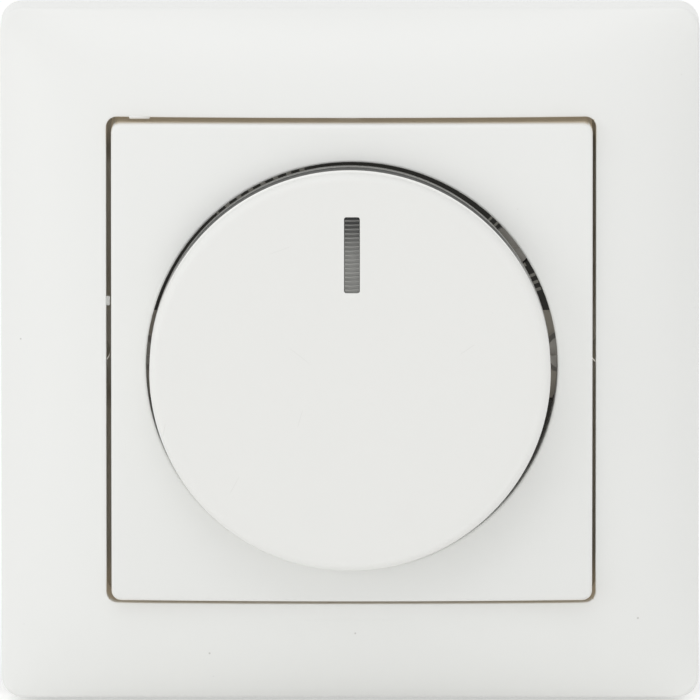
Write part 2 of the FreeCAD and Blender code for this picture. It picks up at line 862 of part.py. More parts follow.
def marker_lens():
    body = new_body("marker_lens")
    top = size("knob_top") - size("marker_recess")
    foot = knob_under - size("marker_foot")
    narrow = size("marker_width") - 2 * size("marker_play")
    long = size("marker_length") - 2 * size("marker_play")
    corner = size("marker_corner") - size("marker_play")
    bar = new_sketch(body, "bar", foot)
    rounded_box(bar, narrow, long, corner, 0, size("marker_centre"))
    pad(body, "bar_pad", bar, top - foot)
    flange = new_sketch(body, "flange", knob_under)
    rounded_box(flange, narrow + 2 * size("marker_flange"), long + 2 * size("marker_flange"), corner,
                0, size("marker_centre"))
    pad(body, "flange_pad", flange, size("marker_flange_depth"), back=True)
    groove = new_sketch(body, "groove", top)
    pitch = size("marker_pitch")
    grooves = Size(f"floor({long.formula} / {pitch.formula})", math.floor(long.amount / pitch.amount))
    run = pitch * (grooves - 1)
    start = size("marker_centre") - run / 2
    cut = size("marker_groove")
    box(groove, -narrow, narrow, start - cut / 2, start + cut / 2)
    first = pocket(body, "first_groove", groove, cut)
    in_line(body, "grooves", [first], "Y_Axis", run, grooves)
    return keep(body, "marker_lens")


def knob_clip():
    """An open ring of spring wire that keeps the hub tight on the shaft."""
    body = new_body("knob_clip")
    wire = size("clip_wire") / 2
    section = new_sketch(body, "section", 0, "XZ_Plane")
    middle = size("hub_width") / 2 + wire + size("shaft_play")
    angles = [math.radians(360 * side / RING_SIDES) for side in range(RING_SIDES)]
    polygon(section, [
        (middle + wire * math.cos(angle), hub_end + size("clip_rise") + wire * math.sin(angle))
        for angle in angles
    ])
    revolve(body, "ring", section, SIZES["clip_turn"])
    return keep(body, "knob_clip")


def insert_face():
    body = new_body("insert_face")
    radius = face_radius
    base = new_sketch(body, "outline", support_top)
    disc(base, radius)
    pad(body, "disc", base, size("face_height"))
    soften(body, "edge", size("face_edge_round"), level_edge(face_top, radius, radius), "Chamfer")
    inside = new_sketch(body, "inside", support_top)
    disc(inside, radius - size("face_wall"))
    pocket(body, "hollow", inside, face_under - support_top, front=True)
    ridge = new_sketch(body, "ridge", face_top)
    disc(ridge, size("face_ridge") / 2)
    pad(body, "ridge_pad", ridge, size("face_ridge_height"))
    recess = new_sketch(body, "recess", face_top + size("face_ridge_height"))
    disc(recess, size("face_ridge") / 2 - size("face_ridge_wall"))
    pocket(body, "ridge_recess", recess, size("face_ridge_height"))
    bores = new_sketch(body, "bores", face_top + OVERSHOOT)
    disc(bores, bush_radius + 2 * size("shaft_play"))
    disc(bores, size("lamp_width") / 2 + size("lamp_play"), 0, size("lamp_place"))
    pocket(body, "bore_cut", bores, face_top)
    for side in (-1, 1):
        x = side * size("boss_x")
        y = side * size("boss_y")
        post = new_sketch(body, f"post_{side + 1}", face_under + MERGE)
        disc(post, size("fixing_head") / 2 + size("post_wall"), x, y)
        pad(body, f"post_pad_{side + 1}", post, face_under + MERGE - support_top, back=True)
        sink = new_sketch(body, f"sink_{side + 1}", face_top)
        disc(sink, size("fixing_head") / 2 + size("fixing_play"), x, y)
        pocket(body, f"sink_cut_{side + 1}", sink, face_top - fixing_seat)
        hole = new_sketch(body, f"hole_{side + 1}", face_top)
        disc(hole, size("fixing_width") / 2 + size("fixing_play"), x, y)
        pocket(body, f"hole_cut_{side + 1}", hole, face_top)
        notch = new_sketch(body, f"notch_{side + 1}", face_top + OVERSHOOT)
        half = size("face_notch_width") / 2
        box(notch, side * size("face_notch"), side * (radius + OVERSHOOT), -half, half)
        pocket(body, f"notch_cut_{side + 1}", notch, face_top)
    return keep(body, "insert_face")


def support_plate():
    body = new_body("support_plate")
    base = new_sketch(body, "outline")
    rounded_box(base, support_width, support_width, size("support_corner"))
    pad(body, "sheet", base, support_top)
    above = support_top + OVERSHOOT
    through = support_top + 2 * OVERSHOOT

    middle = new_sketch(body, "middle", above)
    opening = size("case_width") + 2 * size("case_play")
    rounded_box(middle, opening, opening, size("case_corner"))
    disc(middle, size("lamp_width") / 2 + size("support_lamp_play"), 0, size("lamp_place"))
    disc(middle, size("tab_screw_width") / 2 + size("shaft_play"), 0, -size("tab_screw_place"))
    pocket(body, "middle_cut", middle, through)

    slot_run = size("box_slot")
    for side in (-1, 1):
        cut = new_sketch(body, f"side_{side + 1}", above)
        disc(cut, size("claw_screw_width") / 2 + size("claw_screw_play"), side * claw_x, 0)
        rounded_box(cut, slot_run, size("box_hole"), size("box_hole") / 2 - SLIVER,
                    side * size("box_spacing") / 2, 0)
        disc(cut, size("box_hole") / 2, 0, side * size("box_spacing") / 2)
        fixing_radius = size("fixing_width") / 2 + size("fixing_play")
        disc(cut, fixing_radius, side * size("boss_x"), side * size("boss_y"))
        pocket(body, f"side_cut_{side + 1}", cut, through)

    latch = new_sketch(body, "latch", above)
    inner = size("leg_inner") - size("latch_play")
    outer = size("leg_inner") + size("leg_thickness") + size("latch_play")
    low = size("leg_low") - size("latch_end_play")
    high = size("leg_low") + size("leg_width") + size("latch_end_play")
    box(latch, inner, outer, low, high)
    latch_cut = pocket(body, "latch_cut", latch, through)
    around(body, "latches", [latch_cut], 4)

    for side in (-1, 1):
        for end in (-1, 1):
            name = f"{side + 1}_{end + 1}"
            place = end * (size("ear_place") + size("ear_sheet") / 2)
            ear = new_sketch(body, f"ear_{name}", -place, "XZ_Plane")
            reach = size("claw_eye") / 2 + size("ear_margin")
            box(ear, side * pivot_x - reach, side * pivot_x + reach, pivot_z - reach, support_top / 2)
            pad(body, f"ear_pad_{name}", ear, size("ear_sheet"), both=True)
        drill = new_sketch(body, f"drill_{side + 1}", 0, "XZ_Plane")
        disc(drill, size("claw_pin_width") / 2 + size("claw_pin_play"), side * pivot_x, pivot_z)
        span = 2 * (size("ear_place") + size("ear_sheet") + OVERSHOOT)
        pocket(body, f"drill_cut_{side + 1}", drill, span, both=True)
    return keep(body, "support_plate")


def claw(label, turn):
    """A forked bell crank: its short arm is drawn forward by the screw, its leg swings out."""
    side = Placement(Vector(0, 0, 0), Rotation(Vector(0, 0, 1), turn))
    body = new_body(label, FRONT.multiply(side))
    half = size("claw_sheet") / 2
    leg_end = -size("claw_leg_end")
    outer = pivot_x + half
    tip = outer + size("claw_tooth")
    pitch = size("claw_tooth_pitch")
    point = leg_end + size("claw_tooth_point")
    profile = new_sketch(body, "profile", 0, "XZ_Plane")
    polygon(profile, [
        (pivot_x - half, pivot_z + half), (size("claw_arm_end"), pivot_z + half),
        (size("claw_arm_end"), pivot_z - half), (outer, pivot_z - half),
        (outer, leg_end + 2 * pitch), (tip, point + pitch), (outer, leg_end + pitch),
        (tip, point), (outer, leg_end), (pivot_x - half, leg_end),
    ])
    pad(body, "strip", profile, size("claw_width"), both=True)
    eye = new_sketch(body, "eye", 0, "XZ_Plane")
    disc(eye, size("claw_eye") / 2, pivot_x, pivot_z)
    pad(body, "eye_pad", eye, size("claw_width"), both=True)
    bore = new_sketch(body, "bore", 0, "XZ_Plane")
    disc(bore, size("claw_pin_width") / 2 + size("claw_pin_play"), pivot_x, pivot_z)
    pocket(body, "bore_cut", bore, size("claw_width") + 2 * OVERSHOOT, both=True)
    fork = new_sketch(body, "fork", pivot_x - size("claw_eye"), "YZ_Plane")
    fork_half = size("claw_fork") / 2
    web = leg_end + 2 * pitch + size("claw_fork_web")
    box(fork, -fork_half, fork_half, web, pivot_z + size("claw_eye"))
    pocket(body, "fork_cut", fork, size("claw_eye") + size("claw_fork_reach"), front=True)
    hole = new_sketch(body, "hole", 0)
    disc(hole, size("claw_screw_width") / 2 + size("claw_hole_play"), claw_x, 0)
    pocket(body, "hole_cut", hole, size("claw_pivot_depth") + size("claw_sheet"))
    return keep(body, label)


def claw_screw(label, side):
    place = Placement(Vector(side * claw_x.amount, 0, 0), Rotation())
    body = new_body(label, FRONT.multiply(place))
    shank = size("claw_screw_width") / 2
    head = size("claw_screw_head") / 2
    head_top = support_top + size("claw_screw_head_height")
    end = support_top - size("claw_screw_length")
    profile = new_sketch(body, "profile", 0, "XZ_Plane")
    polygon(profile, [
        (0, end), (shank - size("screw_point"), end), (shank, end + size("screw_point")),
        (shank, support_top), (head, support_top), (head, head_top), (0, head_top),
    ])
    revolve(body, "turned", profile)
    soften(body, "crown", size("screw_head_round"), level_edge(head_top, head, head), "Chamfer")
    slot = new_sketch(body, "slot", head_top)
    box(slot, -head, head, -size("screw_slot") / 2, size("screw_slot") / 2)
    pocket(body, "slot_cut", slot, size("screw_slot_depth"))
    return keep(body, label)


def claw_pivot_pins():
    reach = size("ear_place") + size("ear_sheet")
    pins = [
        rod(size("claw_pin_width") / 2, (side * pivot_x, -reach, pivot_z), (side * pivot_x, reach, pivot_z))
        for side in (-1, 1)
    ]
    return group("claw_pivot_pins", pins)


def blade_slot(sketch, place):
    """The opening that one terminal's blade passes through."""
    x = place * size("terminal_pitch")
    across = size("blade_slot_width") / 2
    rise = size("blade_slot_height") / 2
    box(sketch, x - across, x + across, cage_mid - rise, cage_mid + rise)


def housing():
    body = new_body("housing")
    radius = size("housing_width") / 2
    flat = size("housing_flats") / 2
    wall = size("housing_wall")
    outline = new_sketch(body, "outline")
    flat_sided_disc(outline, radius, flat)
    pad(body, "block", outline, size("housing_depth"), back=True)
    soften(body, "rear_edge", size("housing_edge_round"), level_edge(housing_back), "Chamfer")
    inside = new_sketch(body, "inside")
    flat_sided_disc(inside, radius - wall, flat - wall)
    pocket(body, "hollow", inside, size("housing_depth") - wall)

    half = size("bay_width") / 2
    for side in (-1, 1):
        liner = new_sketch(body, f"liner_{side + 1}")
        box(liner, side * (size("bay_inner") - wall), side * (flat - MERGE), -(half + wall), half + wall)
        liner_depth = size("housing_depth") - size("housing_edge_round")
        pad(body, f"liner_pad_{side + 1}", liner, liner_depth, back=True)
        boss = new_sketch(body, f"boss_{side + 1}")
        disc(boss, size("boss_width") / 2, side * size("boss_x"), side * size("boss_y"))
        pad(body, f"boss_pad_{side + 1}", boss, size("boss_length"), back=True)
        drill = new_sketch(body, f"drill_{side + 1}")
        drill_radius = size("fixing_width") / 2 + size("shaft_play")
        disc(drill, drill_radius, side * size("boss_x"), side * size("boss_y"))
        pocket(body, f"drill_cut_{side + 1}", drill, size("boss_length") - size("boss_floor"))
        bay = new_sketch(body, f"bay_{side + 1}", OVERSHOOT)
        box(bay, side * size("bay_inner"), side * (flat + OVERSHOOT), -half, half)
        pocket(body, f"bay_cut_{side + 1}", bay, size("housing_depth") + 2 * OVERSHOOT)

    blades = new_sketch(body, "blades", chamber_back + OVERSHOOT)
    for place in (-1, 0, 1):
        blade_slot(blades, place)
    pocket(body, "blade_cuts", blades, wall + 2 * OVERSHOOT)

    vent = new_sketch(body, "vent", chamber_back + OVERSHOOT)
    run = size("vent_pitch") * (size("vent_count") - 1)
    rounded_box(vent, size("vent_width"), size("vent_length"), size("vent_width") / 2 - SLIVER,
                -run / 2, size("vent_place"))
    first = pocket(body, "first_vent", vent, wall + 2 * OVERSHOOT)
    in_line(body, "vents", [first], "X_Axis", run, size("vent_count"))
    return keep(body, "housing")


def housing_screws():
    """Two self-tapping screws through the insert face and the support plate."""
    head_top = fixing_seat + size("fixing_head_height")
    reach = size("fixing_head") / 2 + OVERSHOOT
    half = size("fixing_slot") / 2
    screws = []
    for side in (-1, 1):
        x = side * size("boss_x")
        y = side * size("boss_y")
        end = support_top - size("fixing_length")
        shank = rod(size("fixing_width") / 2, (x, y, end), (x, y, fixing_seat))
        head = rod(size("fixing_head") / 2, (x, y, fixing_seat), (x, y, head_top))
        floor = head_top - size("fixing_slot_depth")
        slot = block(x - reach, x + reach, y - half, y + half, floor, head_top + OVERSHOOT)
        screws.append(shank.fuse(head).removeSplitter().cut(slot))
    return group("housing_screws", screws)


def potentiometer_case():
    body = new_body("potentiometer_case")
    base = new_sketch(body, "outline", case_back)
    rounded_box(base, size("case_width"), size("case_width"), size("case_corner"))
    pad(body, "block", base, size("case_depth"))
    chamber = new_sketch(body, "chamber", chamber_floor)
    disc(chamber, size("chamber_width") / 2)
    pocket(body, "chamber_cut", chamber, chamber_top - chamber_floor, front=True)
    bore = new_sketch(body, "bore", face_under)
    disc(bore, shaft_radius + size("shaft_play"))
    pocket(body, "bore_cut", bore, size("case_wall") + OVERSHOOT)
    return keep(body, "potentiometer_case")


def threaded_bushing():
    body = new_body("threaded_bushing")
    profile = new_sketch(body, "profile", 0, "XZ_Plane")
    inner = shaft_radius + size("shaft_play")
    polygon(profile, [
        (inner, face_under), (bush_radius, face_under), (bush_radius, bush_top - size("bush_chamfer")),
        (bush_radius - size("bush_chamfer"), bush_top), (inner, bush_top),
    ])
    revolve(body, "turned", profile)
    return keep(body, "threaded_bushing")


def bushing_nut():
    body = new_body("bushing_nut")
    flats = size("nut_flats") / 2
    corner = flats * (2 / math.sqrt(3))
    outline = new_sketch(body, "outline", face_top)
    polygon(outline, [
        (corner, 0), (corner / 2, flats), (-corner / 2, flats),
        (-corner, 0), (-corner / 2, -flats), (corner / 2, -flats),
    ])
    pad(body, "hexagon", outline, size("nut_height"))
    bore = new_sketch(body, "bore", face_top + size("nut_height"))
    disc(bore, bush_radius + size("shaft_play"))
    pocket(body, "bore_cut", bore, size("nut_height") + OVERSHOOT)
    bevel = new_sketch(body, "bevel", 0, "XZ_Plane")
    top = face_top + size("nut_height")
    outer = corner + OVERSHOOT
    polygon(bevel, [
        (flats, top + OVERSHOOT), (outer, top + OVERSHOOT), (outer, top - size("nut_bevel")), (flats, top),
    ])
    cut = feature(body, "Groove", "bevel_cut", bevel)
    cut.ReferenceAxis = (bevel, ["V_Axis"])
    cut.Angle = 360
    return keep(body, "bushing_nut")


def control_shaft():
    body = new_body("control_shaft")
    profile = new_sketch(body, "profile", 0, "XZ_Plane")
    polygon(profile, [
        (0, size("slider_top")), (tail_radius, size("slider_top")), (tail_radius, size("shaft_step")),
        (shaft_radius, size("shaft_step")), (shaft_radius, shaft_top - size("shaft_chamfer")),
        (shaft_radius - size("shaft_chamfer"), shaft_top), (0, shaft_top),
    ])
    revolve(body, "turned", profile)
    flat = new_sketch(body, "flat", bush_top + size("knob_travel") + size("shaft_flat_gap"))
    box(flat, -shaft_radius, shaft_radius, shaft_flat, shaft_radius + OVERSHOOT)
    pocket(body, "flat_cut", flat, shaft_top - bush_top, front=True)
    tail = new_sketch(body, "tail", size("slider_top") - OVERSHOOT)
    box(tail, -tail_radius, tail_radius, tail_flat, tail_radius + OVERSHOOT)
    pocket(body, "tail_cut", tail, size("shaft_step") - size("slider_top") + OVERSHOOT, front=True)
    return keep(body, "control_shaft")


def wiper_rotor():
    """The disc that carries the wiper, turned by the flat of the shaft's tail."""
    body = new_body("wiper_rotor")
    top = chamber_top - size("track_height") - size("rotor_gap")
    outline = new_sketch(body, "outline", top)
    disc(outline, size("rotor_width") / 2)
    pad(body, "disc", outline, size("rotor_height"), back=True)
    bore = new_sketch(body, "bore", top)
    disc(bore, tail_radius + size("shaft_play"))
    pocket(body, "bore_cut", bore, size("rotor_height") + OVERSHOOT)
    key = new_sketch(body, "key", top)
    box(key, -tail_radius, tail_radius, tail_flat + size("shaft_play"), tail_radius + MERGE)
    pad(body, "key_pad", key, size("rotor_height"), back=True)
    return keep(body, "wiper_rotor")


def resistance_track():
    body = new_body("resistance_track")
    ring = new_sketch(body, "ring", chamber_top)
    disc(ring, size("track_width") / 2)
    disc(ring, size("track_bore") / 2)
    pad(body, "ring_pad", ring, size("track_height"), back=True)
    return keep(body, "resistance_track")


def switch_slider():
    body = new_body("switch_slider")
    profile = new_sketch(body, "profile", 0, "XZ_Plane")
    boss = size("slider_boss") / 2
    edge = size("rotor_width") / 2
    polygon(profile, [
        (0, slider_floor - size("slider_boss_depth")), (boss, slider_floor - size("slider_boss_depth")),
        (boss, slider_floor), (edge, slider_floor), (edge, size("slider_top")), (0, size("slider_top")),
    ])
    revolve(body, "turned", profile)
    return keep(body, "switch_slider")


def switch_contacts():
    half = size("contact_width") / 2
    sheet_half = size("contact_sheet") / 2
    foot_half = size("contact_foot") / 2
    top = chamber_floor + size("contact_height")
    foot_top = chamber_floor + size("contact_foot_height")
    leaves = []
    for side in (-1, 1):
        x = side * size("contact_place")
        leaf = block(x - sheet_half, x + sheet_half, -half, half, chamber_floor, top)
        foot = block(x - foot_half, x + foot_half, -half, half, chamber_floor, foot_top)
        leaves.append(leaf.fuse(foot).removeSplitter())
    return group("switch_contacts", leaves)


def return_spring():
    """A coil between the chamber's floor and the slider, lofted with few faces."""
    wire = size("spring_wire").amount / 2
    radius = size("spring_width").amount / 2 - wire
    low = chamber_floor.amount + wire
    height = slider_floor.amount - wire - low
    steps = round(SIZES["spring_turns"] * SPRING_STEPS)
    sections = []
    for step in range(steps + 1):
        turn = math.radians(360 * step / SPRING_STEPS)
        middle = low + height * step / steps
        corners = []
        for side in range(SPRING_SIDES + 1):
            angle = math.radians(360 * side / SPRING_SIDES)
            reach = radius + wire * math.cos(angle)
            level = middle + wire * math.sin(angle)
            corners.append(Vector(reach * math.cos(turn), reach * math.sin(turn), level))
        sections.append(Part.makePolygon(corners))
    return group("return_spring", [Part.makeLoft(sections, True, True)])


def circuit_board():
    body = new_body("circuit_board")
    outline = new_sketch(body, "outline", board_top)
    rounded_box(outline, size("board_width"), size("board_height"), size("board_corner"))
    pad(body, "board", outline, size("board_sheet"), back=True)
    holes = new_sketch(body, "holes", board_top)
    for place in (-1, 0, 1):
        disc(holes, size("pin_hole") / 2, place * size("pin_pitch"), size("pin_row"))
    pocket(body, "hole_cuts", holes, size("board_sheet") + OVERSHOOT)
    return keep(body, "circuit_board")


def potentiometer_pins():
    y = size("pin_row")
    end = board_back - size("pin_end")
    pins = []
    for place in (-1, 0, 1):
        x = place * size("pin_pitch")
        pins.append(rod(size("pin_width") / 2, (x, y, end), (x, y, case_back)))
    return group("potentiometer_pins", pins)


def choke():
    """A ring core, lying on the back of the board, with a winding round most of it."""
    middle = board_back - choke_core / 2 - choke_layer - choke_stand
    place = Vector(size("choke_x").amount, size("choke_y").amount, middle.amount)
    ring = size("choke_ring").amount / 2
    core = choke_core.amount / 2
    outer = core + choke_layer.amount
    group("choke_core", [ring_bar(place, ring, core, 360)])
    turn = SIZES["choke_turn"]
    winding = ring_bar(place, ring, outer, turn)
    for angle in (turn / 3, 2 * turn / 3):
        x = place.x + ring * math.cos(math.radians(angle))
        y = place.y + ring * math.sin(math.radians(angle))
        winding = winding.fuse(rod(size("choke_lead_width") / 2, (x, y, middle), (x, y, board_back)))
    channel = ring_bar(place, ring, core + size("shaft_play").amount, 360)
    return group("choke_winding", [winding.cut(channel)])


def film_capacitor():
    body = new_body("film_capacitor")
    outline = new_sketch(body, "outline", board_back)
    rounded_box(outline, size("film_length"), size("film_width"), size("film_corner"),
                size("film_x"), size("film_y"))
    pad(body, "block", outline, storey - size("film_gap"), back=True)
    return keep(body, "film_capacitor")


def storage_capacitor():
    place = Placement(Vector(size("storage_x").amount, size("storage_y").amount, 0), Rotation())
    body = new_body("storage_capacitor", FRONT.multiply(place))
    radius = size("storage_width") / 2
    end = chamber_back + size("storage_gap")
    bead = size("storage_bead")
    neck = board_back - size("storage_bead_place")
    chamfer = size("storage_chamfer")
    profile = new_sketch(body, "profile", 0, "XZ_Plane")
    polygon(profile, [
        (0, board_back), (radius, board_back), (radius, neck), (radius - bead, neck - bead),
        (radius, neck - 2 * bead), (radius, end + chamfer), (radius - chamfer, end), (0, end),
    ])
    revolve(body, "can", profile)
    return keep(body, "storage_capacitor")


def fuse():
    """A glass fuse between two clips on the back of the board."""
    x = size("fuse_x")
    radius = size("fuse_width") / 2
    z = board_back - size("fuse_rise") - radius
    low = size("fuse_y") - size("fuse_length") / 2
    high = size("fuse_y") + size("fuse_length") / 2
    cap = size("fuse_cap")
    group("fuse_tube", [rod(radius - size("fuse_glass_step"), (x, low + cap, z), (x, high - cap, z))])
    group("fuse_caps", [
        rod(radius, (x, low, z), (x, low + cap, z)),
        rod(radius, (x, high - cap, z), (x, high, z)),
    ])
    clips = []
    inner = radius + size("holder_play")
    outer = inner + size("holder_sheet")
    half = size("holder_width") / 2
    reach = half + OVERSHOOT
    grip = z - size("holder_grip")
    for end in (low + cap / 2, high - cap / 2):
        outside = block(x - outer, x + outer, end - half, end + half, grip, board_back)
        inside = rod(inner, (x, end - reach, z), (x, end + reach, z))
        mouth = block(x - inner, x + inner, end - reach, end + reach, grip - OVERSHOOT, z)
        clips.append(outside.cut(inside).cut(mouth))
    return group("fuse_clips", clips)


def signal_lamp():
    radius = (size("lamp_width") / 2).amount
    y = size("lamp_place")
    foot = support_top + size("lamp_foot")
    neck = size("lamp_top") - radius
    bulb = rod(radius, (0, y, foot), (0, y, neck))
    tip = Part.makeSphere(radius, Vector(0, y.amount, neck.amount))
    lamp = bulb.fuse(tip)
    for side in (-1, 1):
        x = side * size("lamp_lead_pitch") / 2
        lamp = lamp.fuse(rod(size("lamp_lead_width") / 2, (x, y, board_top), (x, y, foot + MERGE)))
    return group("signal_lamp", [lamp.removeSplitter()])


def carbon_resistors():
    radius = size("resistor_width") / 2
    half = size("resistor_length") / 2
    x = size("resistor_x")
    lead = size("resistor_lead") / 2
    shoulder = size("resistor_shoulder")
    z = board_top + radius + size("resistor_stand")
    parts = []
    for place in range(3):
        y = size("resistor_y") + place * size("resistor_pitch")
        item = rod(radius, (x - half + shoulder, y, z), (x + half - shoulder, y, z))
        item = item.fuse(rod(lead, (x - half, y, z), (x + half, y, z)))
        for foot in (x - half + lead, x + half - lead):
            item = item.fuse(rod(size("resistor_foot") / 2, (foot, y, board_top), (foot, y, z)))
        parts.append(item.removeSplitter())
    return group("carbon_resistors", parts)


def power_switch():
    """The switching device, flat against the support plate, with its tab screwed to it."""
    half = size("power_width") / 2
    near = -size("power_near")
    far = near - size("power_length")
    end = far - size("tab_length")
    case = block(-half, half, far, near, -size("power_height"), 0)
    tab = block(-half, half, end, far + MERGE, -size("tab_sheet"), 0)
    place_y = -size("tab_screw_place")
    under = -size("power_height")
    hole_radius = size("tab_screw_width") / 2 + size("tab_hole_play")
    hole = rod(hole_radius, (0, place_y, under), (0, place_y, OVERSHOOT))
    device = case.fuse(tab).removeSplitter().cut(hole)
    pin_half = size("power_pin_width") / 2
    pin_top = -size("power_pin_depth")
    pin_low = pin_top - size("power_pin_sheet")
    bend = near + size("power_pin_sheet")
    for place in (-1, 0, 1):
        x = place * size("pin_pitch")
        device = device.fuse(block(x - pin_half, x + pin_half, near - MERGE, bend, pin_low, pin_top))
        device = device.fuse(block(x - pin_half, x + pin_half, near, bend, board_top, pin_top))
    return group("power_switch", [device.removeSplitter()])


def power_switch_screw():
    place = Placement(Vector(0, -size("tab_screw_place").amount, 0), Rotation())
    body = new_body("power_switch_screw", FRONT.multiply(place))
    shank = size("tab_screw_width") / 2
    head = size("tab_screw_head") / 2
    seat = -size("tab_sheet")
    end = seat - size("tab_screw_head_height")
    profile = new_sketch(body, "profile", 0, "XZ_Plane")
    point = size("screw_point")
    polygon(profile, [
        (0, end), (head - point, end), (head, end + point), (head, seat),
        (shank, seat), (shank, support_top), (0, support_top),
    ])
    revolve(body, "turned", profile)
    slot = new_sketch(body, "slot", end)
    box(slot, -head, head, -size("screw_slot") / 2, size("screw_slot") / 2)
    pocket(body, "slot_cut", slot, size("screw_slot_depth"), front=True)
    return keep(body, "power_switch_screw")


# Terminals on the back of the housing: wires enter from above, screws face the rear


def terminal_block():
    body = new_body("terminal_block")
    base = new_sketch(body, "outline", housing_back)
    rounded_box(base, size("block_width"), size("block_height"), size("block_corner"),
                0, size("block_low") + size("block_height") / 2)
    pad(body, "block", base, size("block_depth"), back=True)
    soften(body, "edge", size("block_edge_round"), level_edge(block_back))
    play = size("cage_play")
    pits = new_sketch(body, "pits", block_back)
    slots = new_sketch(body, "slots", housing_back)
    entries = new_sketch(body, "entries", -(size("block_low") + size("block_height")), "XZ_Plane")
    for place in (-1, 0, 1):
        x = place * size("terminal_pitch")
        half = size("cage_width") / 2 + play
        box(pits, x - half, x + half, cage_low - play, cage_low + size("cage_height") + play)
        blade_slot(slots, place)
        disc(entries, size("entry_width") / 2, x, entry_z)
    pocket(body, "pit_cuts", pits, size("block_depth") - size("block_wall") + play, front=True)
    pocket(body, "slot_cuts", slots, size("block_wall") + MERGE)
    pocket(body, "entry_cuts", entries, size("entry_length") + play, front=True)
    return keep(body, "terminal_block")


def terminal_clamps():
    clamps = []
    for place in (-1, 0, 1):
        x = place * size("terminal_pitch")
        half = size("cage_width") / 2
        cage = block(x - half, x + half, cage_low, cage_low + size("cage_height"), cage_back, cage_top)
        floor = cage_low + size("cage_floor")
        wire = rod(size("entry_width") / 2, (x, floor, entry_z), (x, floor + size("cage_height"), entry_z))
        thread = rod(size("clamp_screw_width") / 2 + size("thread_play"),
                     (x, cage_mid, cage_back - OVERSHOOT), (x, cage_mid, entry_z))
        blade = block(x - size("blade_width") / 2, x + size("blade_width") / 2,
                      cage_mid - size("blade_sheet") / 2, cage_mid + size("blade_sheet") / 2,
                      cage_top, board_back)
        clamps.append(cage.cut(wire).cut(thread).fuse(blade).removeSplitter())
    return group("terminal_clamps", clamps)


def terminal_screws():
    end = entry_z - size("entry_width") / 2 - size("clamp_screw_gap")
    seat = cage_back - size("clamp_screw_gap")
    head_back = seat - size("clamp_screw_head_height")
    reach = size("clamp_screw_head") / 2 + OVERSHOOT
    half = size("screw_slot") / 2
    floor = head_back + size("screw_slot_depth")
    screws = []
    for place in (-1, 0, 1):
        x = place * size("terminal_pitch")
        shank = rod(size("clamp_screw_width") / 2, (x, cage_mid, seat), (x, cage_mid, end))
        head = rod(size("clamp_screw_head") / 2, (x, cage_mid, head_back), (x, cage_mid, seat))
        slot = block(x - reach, x + reach, cage_mid - half, cage_mid + half, head_back - OVERSHOOT, floor)
        screws.append(shank.fuse(head).removeSplitter().cut(slot))
    return group("terminal_screws", screws)


cover_frame()
central_plate()
rotary_knob()
marker_lens()
knob_clip()
insert_face()
support_plate()
claw("right_claw", 0)
claw("left_claw", 180)
claw_screw("right_claw_screw", 1)
claw_screw("left_claw_screw", -1)
claw_pivot_pins()
housing()
housing_screws()
potentiometer_case()
threaded_bushing()
bushing_nut()
control_shaft()
wiper_rotor()
resistance_track()
switch_slider()
switch_contacts()
return_spring()
circuit_board()
potentiometer_pins()
choke()
film_capacitor()
storage_capacitor()
fuse()
signal_lamp()
carbon_resistors()
power_switch()
power_switch_screw()
terminal_block()
terminal_clamps()
terminal_screws()
doc.recompute()

for item in doc.Objects:
    if "Invalid" in item.State or "Error" in item.State:
        raise RuntimeError(f"{item.Name} failed: {item.State}")
for piece in pieces:
    if piece.Shape.isNull() or not piece.Shape.isValid():
        raise RuntimeError(f"{piece.Label} has no valid shape")

os.makedirs("parts", exist_ok=True)
for piece in pieces:
    piece.Shape.exportStep(f"parts/{piece.Label}.step")
    print(f"{piece.Label}: {len(piece.Shape.Solids)} solids, {piece.Shape.Volume:.1f} mm3")
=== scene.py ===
import json
import math
from contextlib import contextmanager
from functools import reduce

import bmesh
import bpy
from bpy.props import FloatProperty, FloatVectorProperty, PointerProperty
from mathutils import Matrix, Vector


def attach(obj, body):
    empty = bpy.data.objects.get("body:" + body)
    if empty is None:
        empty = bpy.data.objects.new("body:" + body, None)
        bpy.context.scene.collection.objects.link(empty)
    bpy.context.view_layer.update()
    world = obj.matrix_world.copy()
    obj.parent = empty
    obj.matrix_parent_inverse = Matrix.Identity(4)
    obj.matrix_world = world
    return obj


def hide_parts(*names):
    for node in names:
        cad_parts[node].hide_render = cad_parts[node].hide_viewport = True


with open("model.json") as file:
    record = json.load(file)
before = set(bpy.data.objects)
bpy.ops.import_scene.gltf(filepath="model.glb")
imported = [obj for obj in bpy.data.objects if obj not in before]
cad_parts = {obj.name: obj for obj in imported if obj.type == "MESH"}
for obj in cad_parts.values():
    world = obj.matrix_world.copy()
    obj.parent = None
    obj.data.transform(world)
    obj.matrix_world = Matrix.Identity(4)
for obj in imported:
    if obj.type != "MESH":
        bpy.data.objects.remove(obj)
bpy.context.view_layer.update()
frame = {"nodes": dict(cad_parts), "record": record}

bl_info = {
    "name": "Rotary dimmer switch",
    "version": (1, 0, 0),
    "blender": (4, 5, 0),
    "location": "3D View > Sidebar > Dimmer",
    "description": "Dresses the dimmer's solids with moulded covers, finishes, light and a camera",
    "category": "Object",
}

MM = 0.001
# Keeps this script's materials apart from the frame's own, which have the same names
FINISH = "dimmer_"
# Points along each round corner and each side of a square outline
CORNER_STEPS = 8
SIDE_STEPS = 24
# Points round the knob
KNOB_STEPS = 192
# How much wider a former is than the sheet that is laid on it
FORMER_SPARE = 1.02


# Sizes and colours that a user would change


def length(name, text, millimetres):
    return FloatProperty(name=name, description=text, default=millimetres * MM, unit="LENGTH",
                         subtype="DISTANCE", precision=5)


def colour(name, text, *value):
    return FloatVectorProperty(name=name, description=text, default=value, subtype="COLOR",
                               size=3, min=0.0, max=1.0)


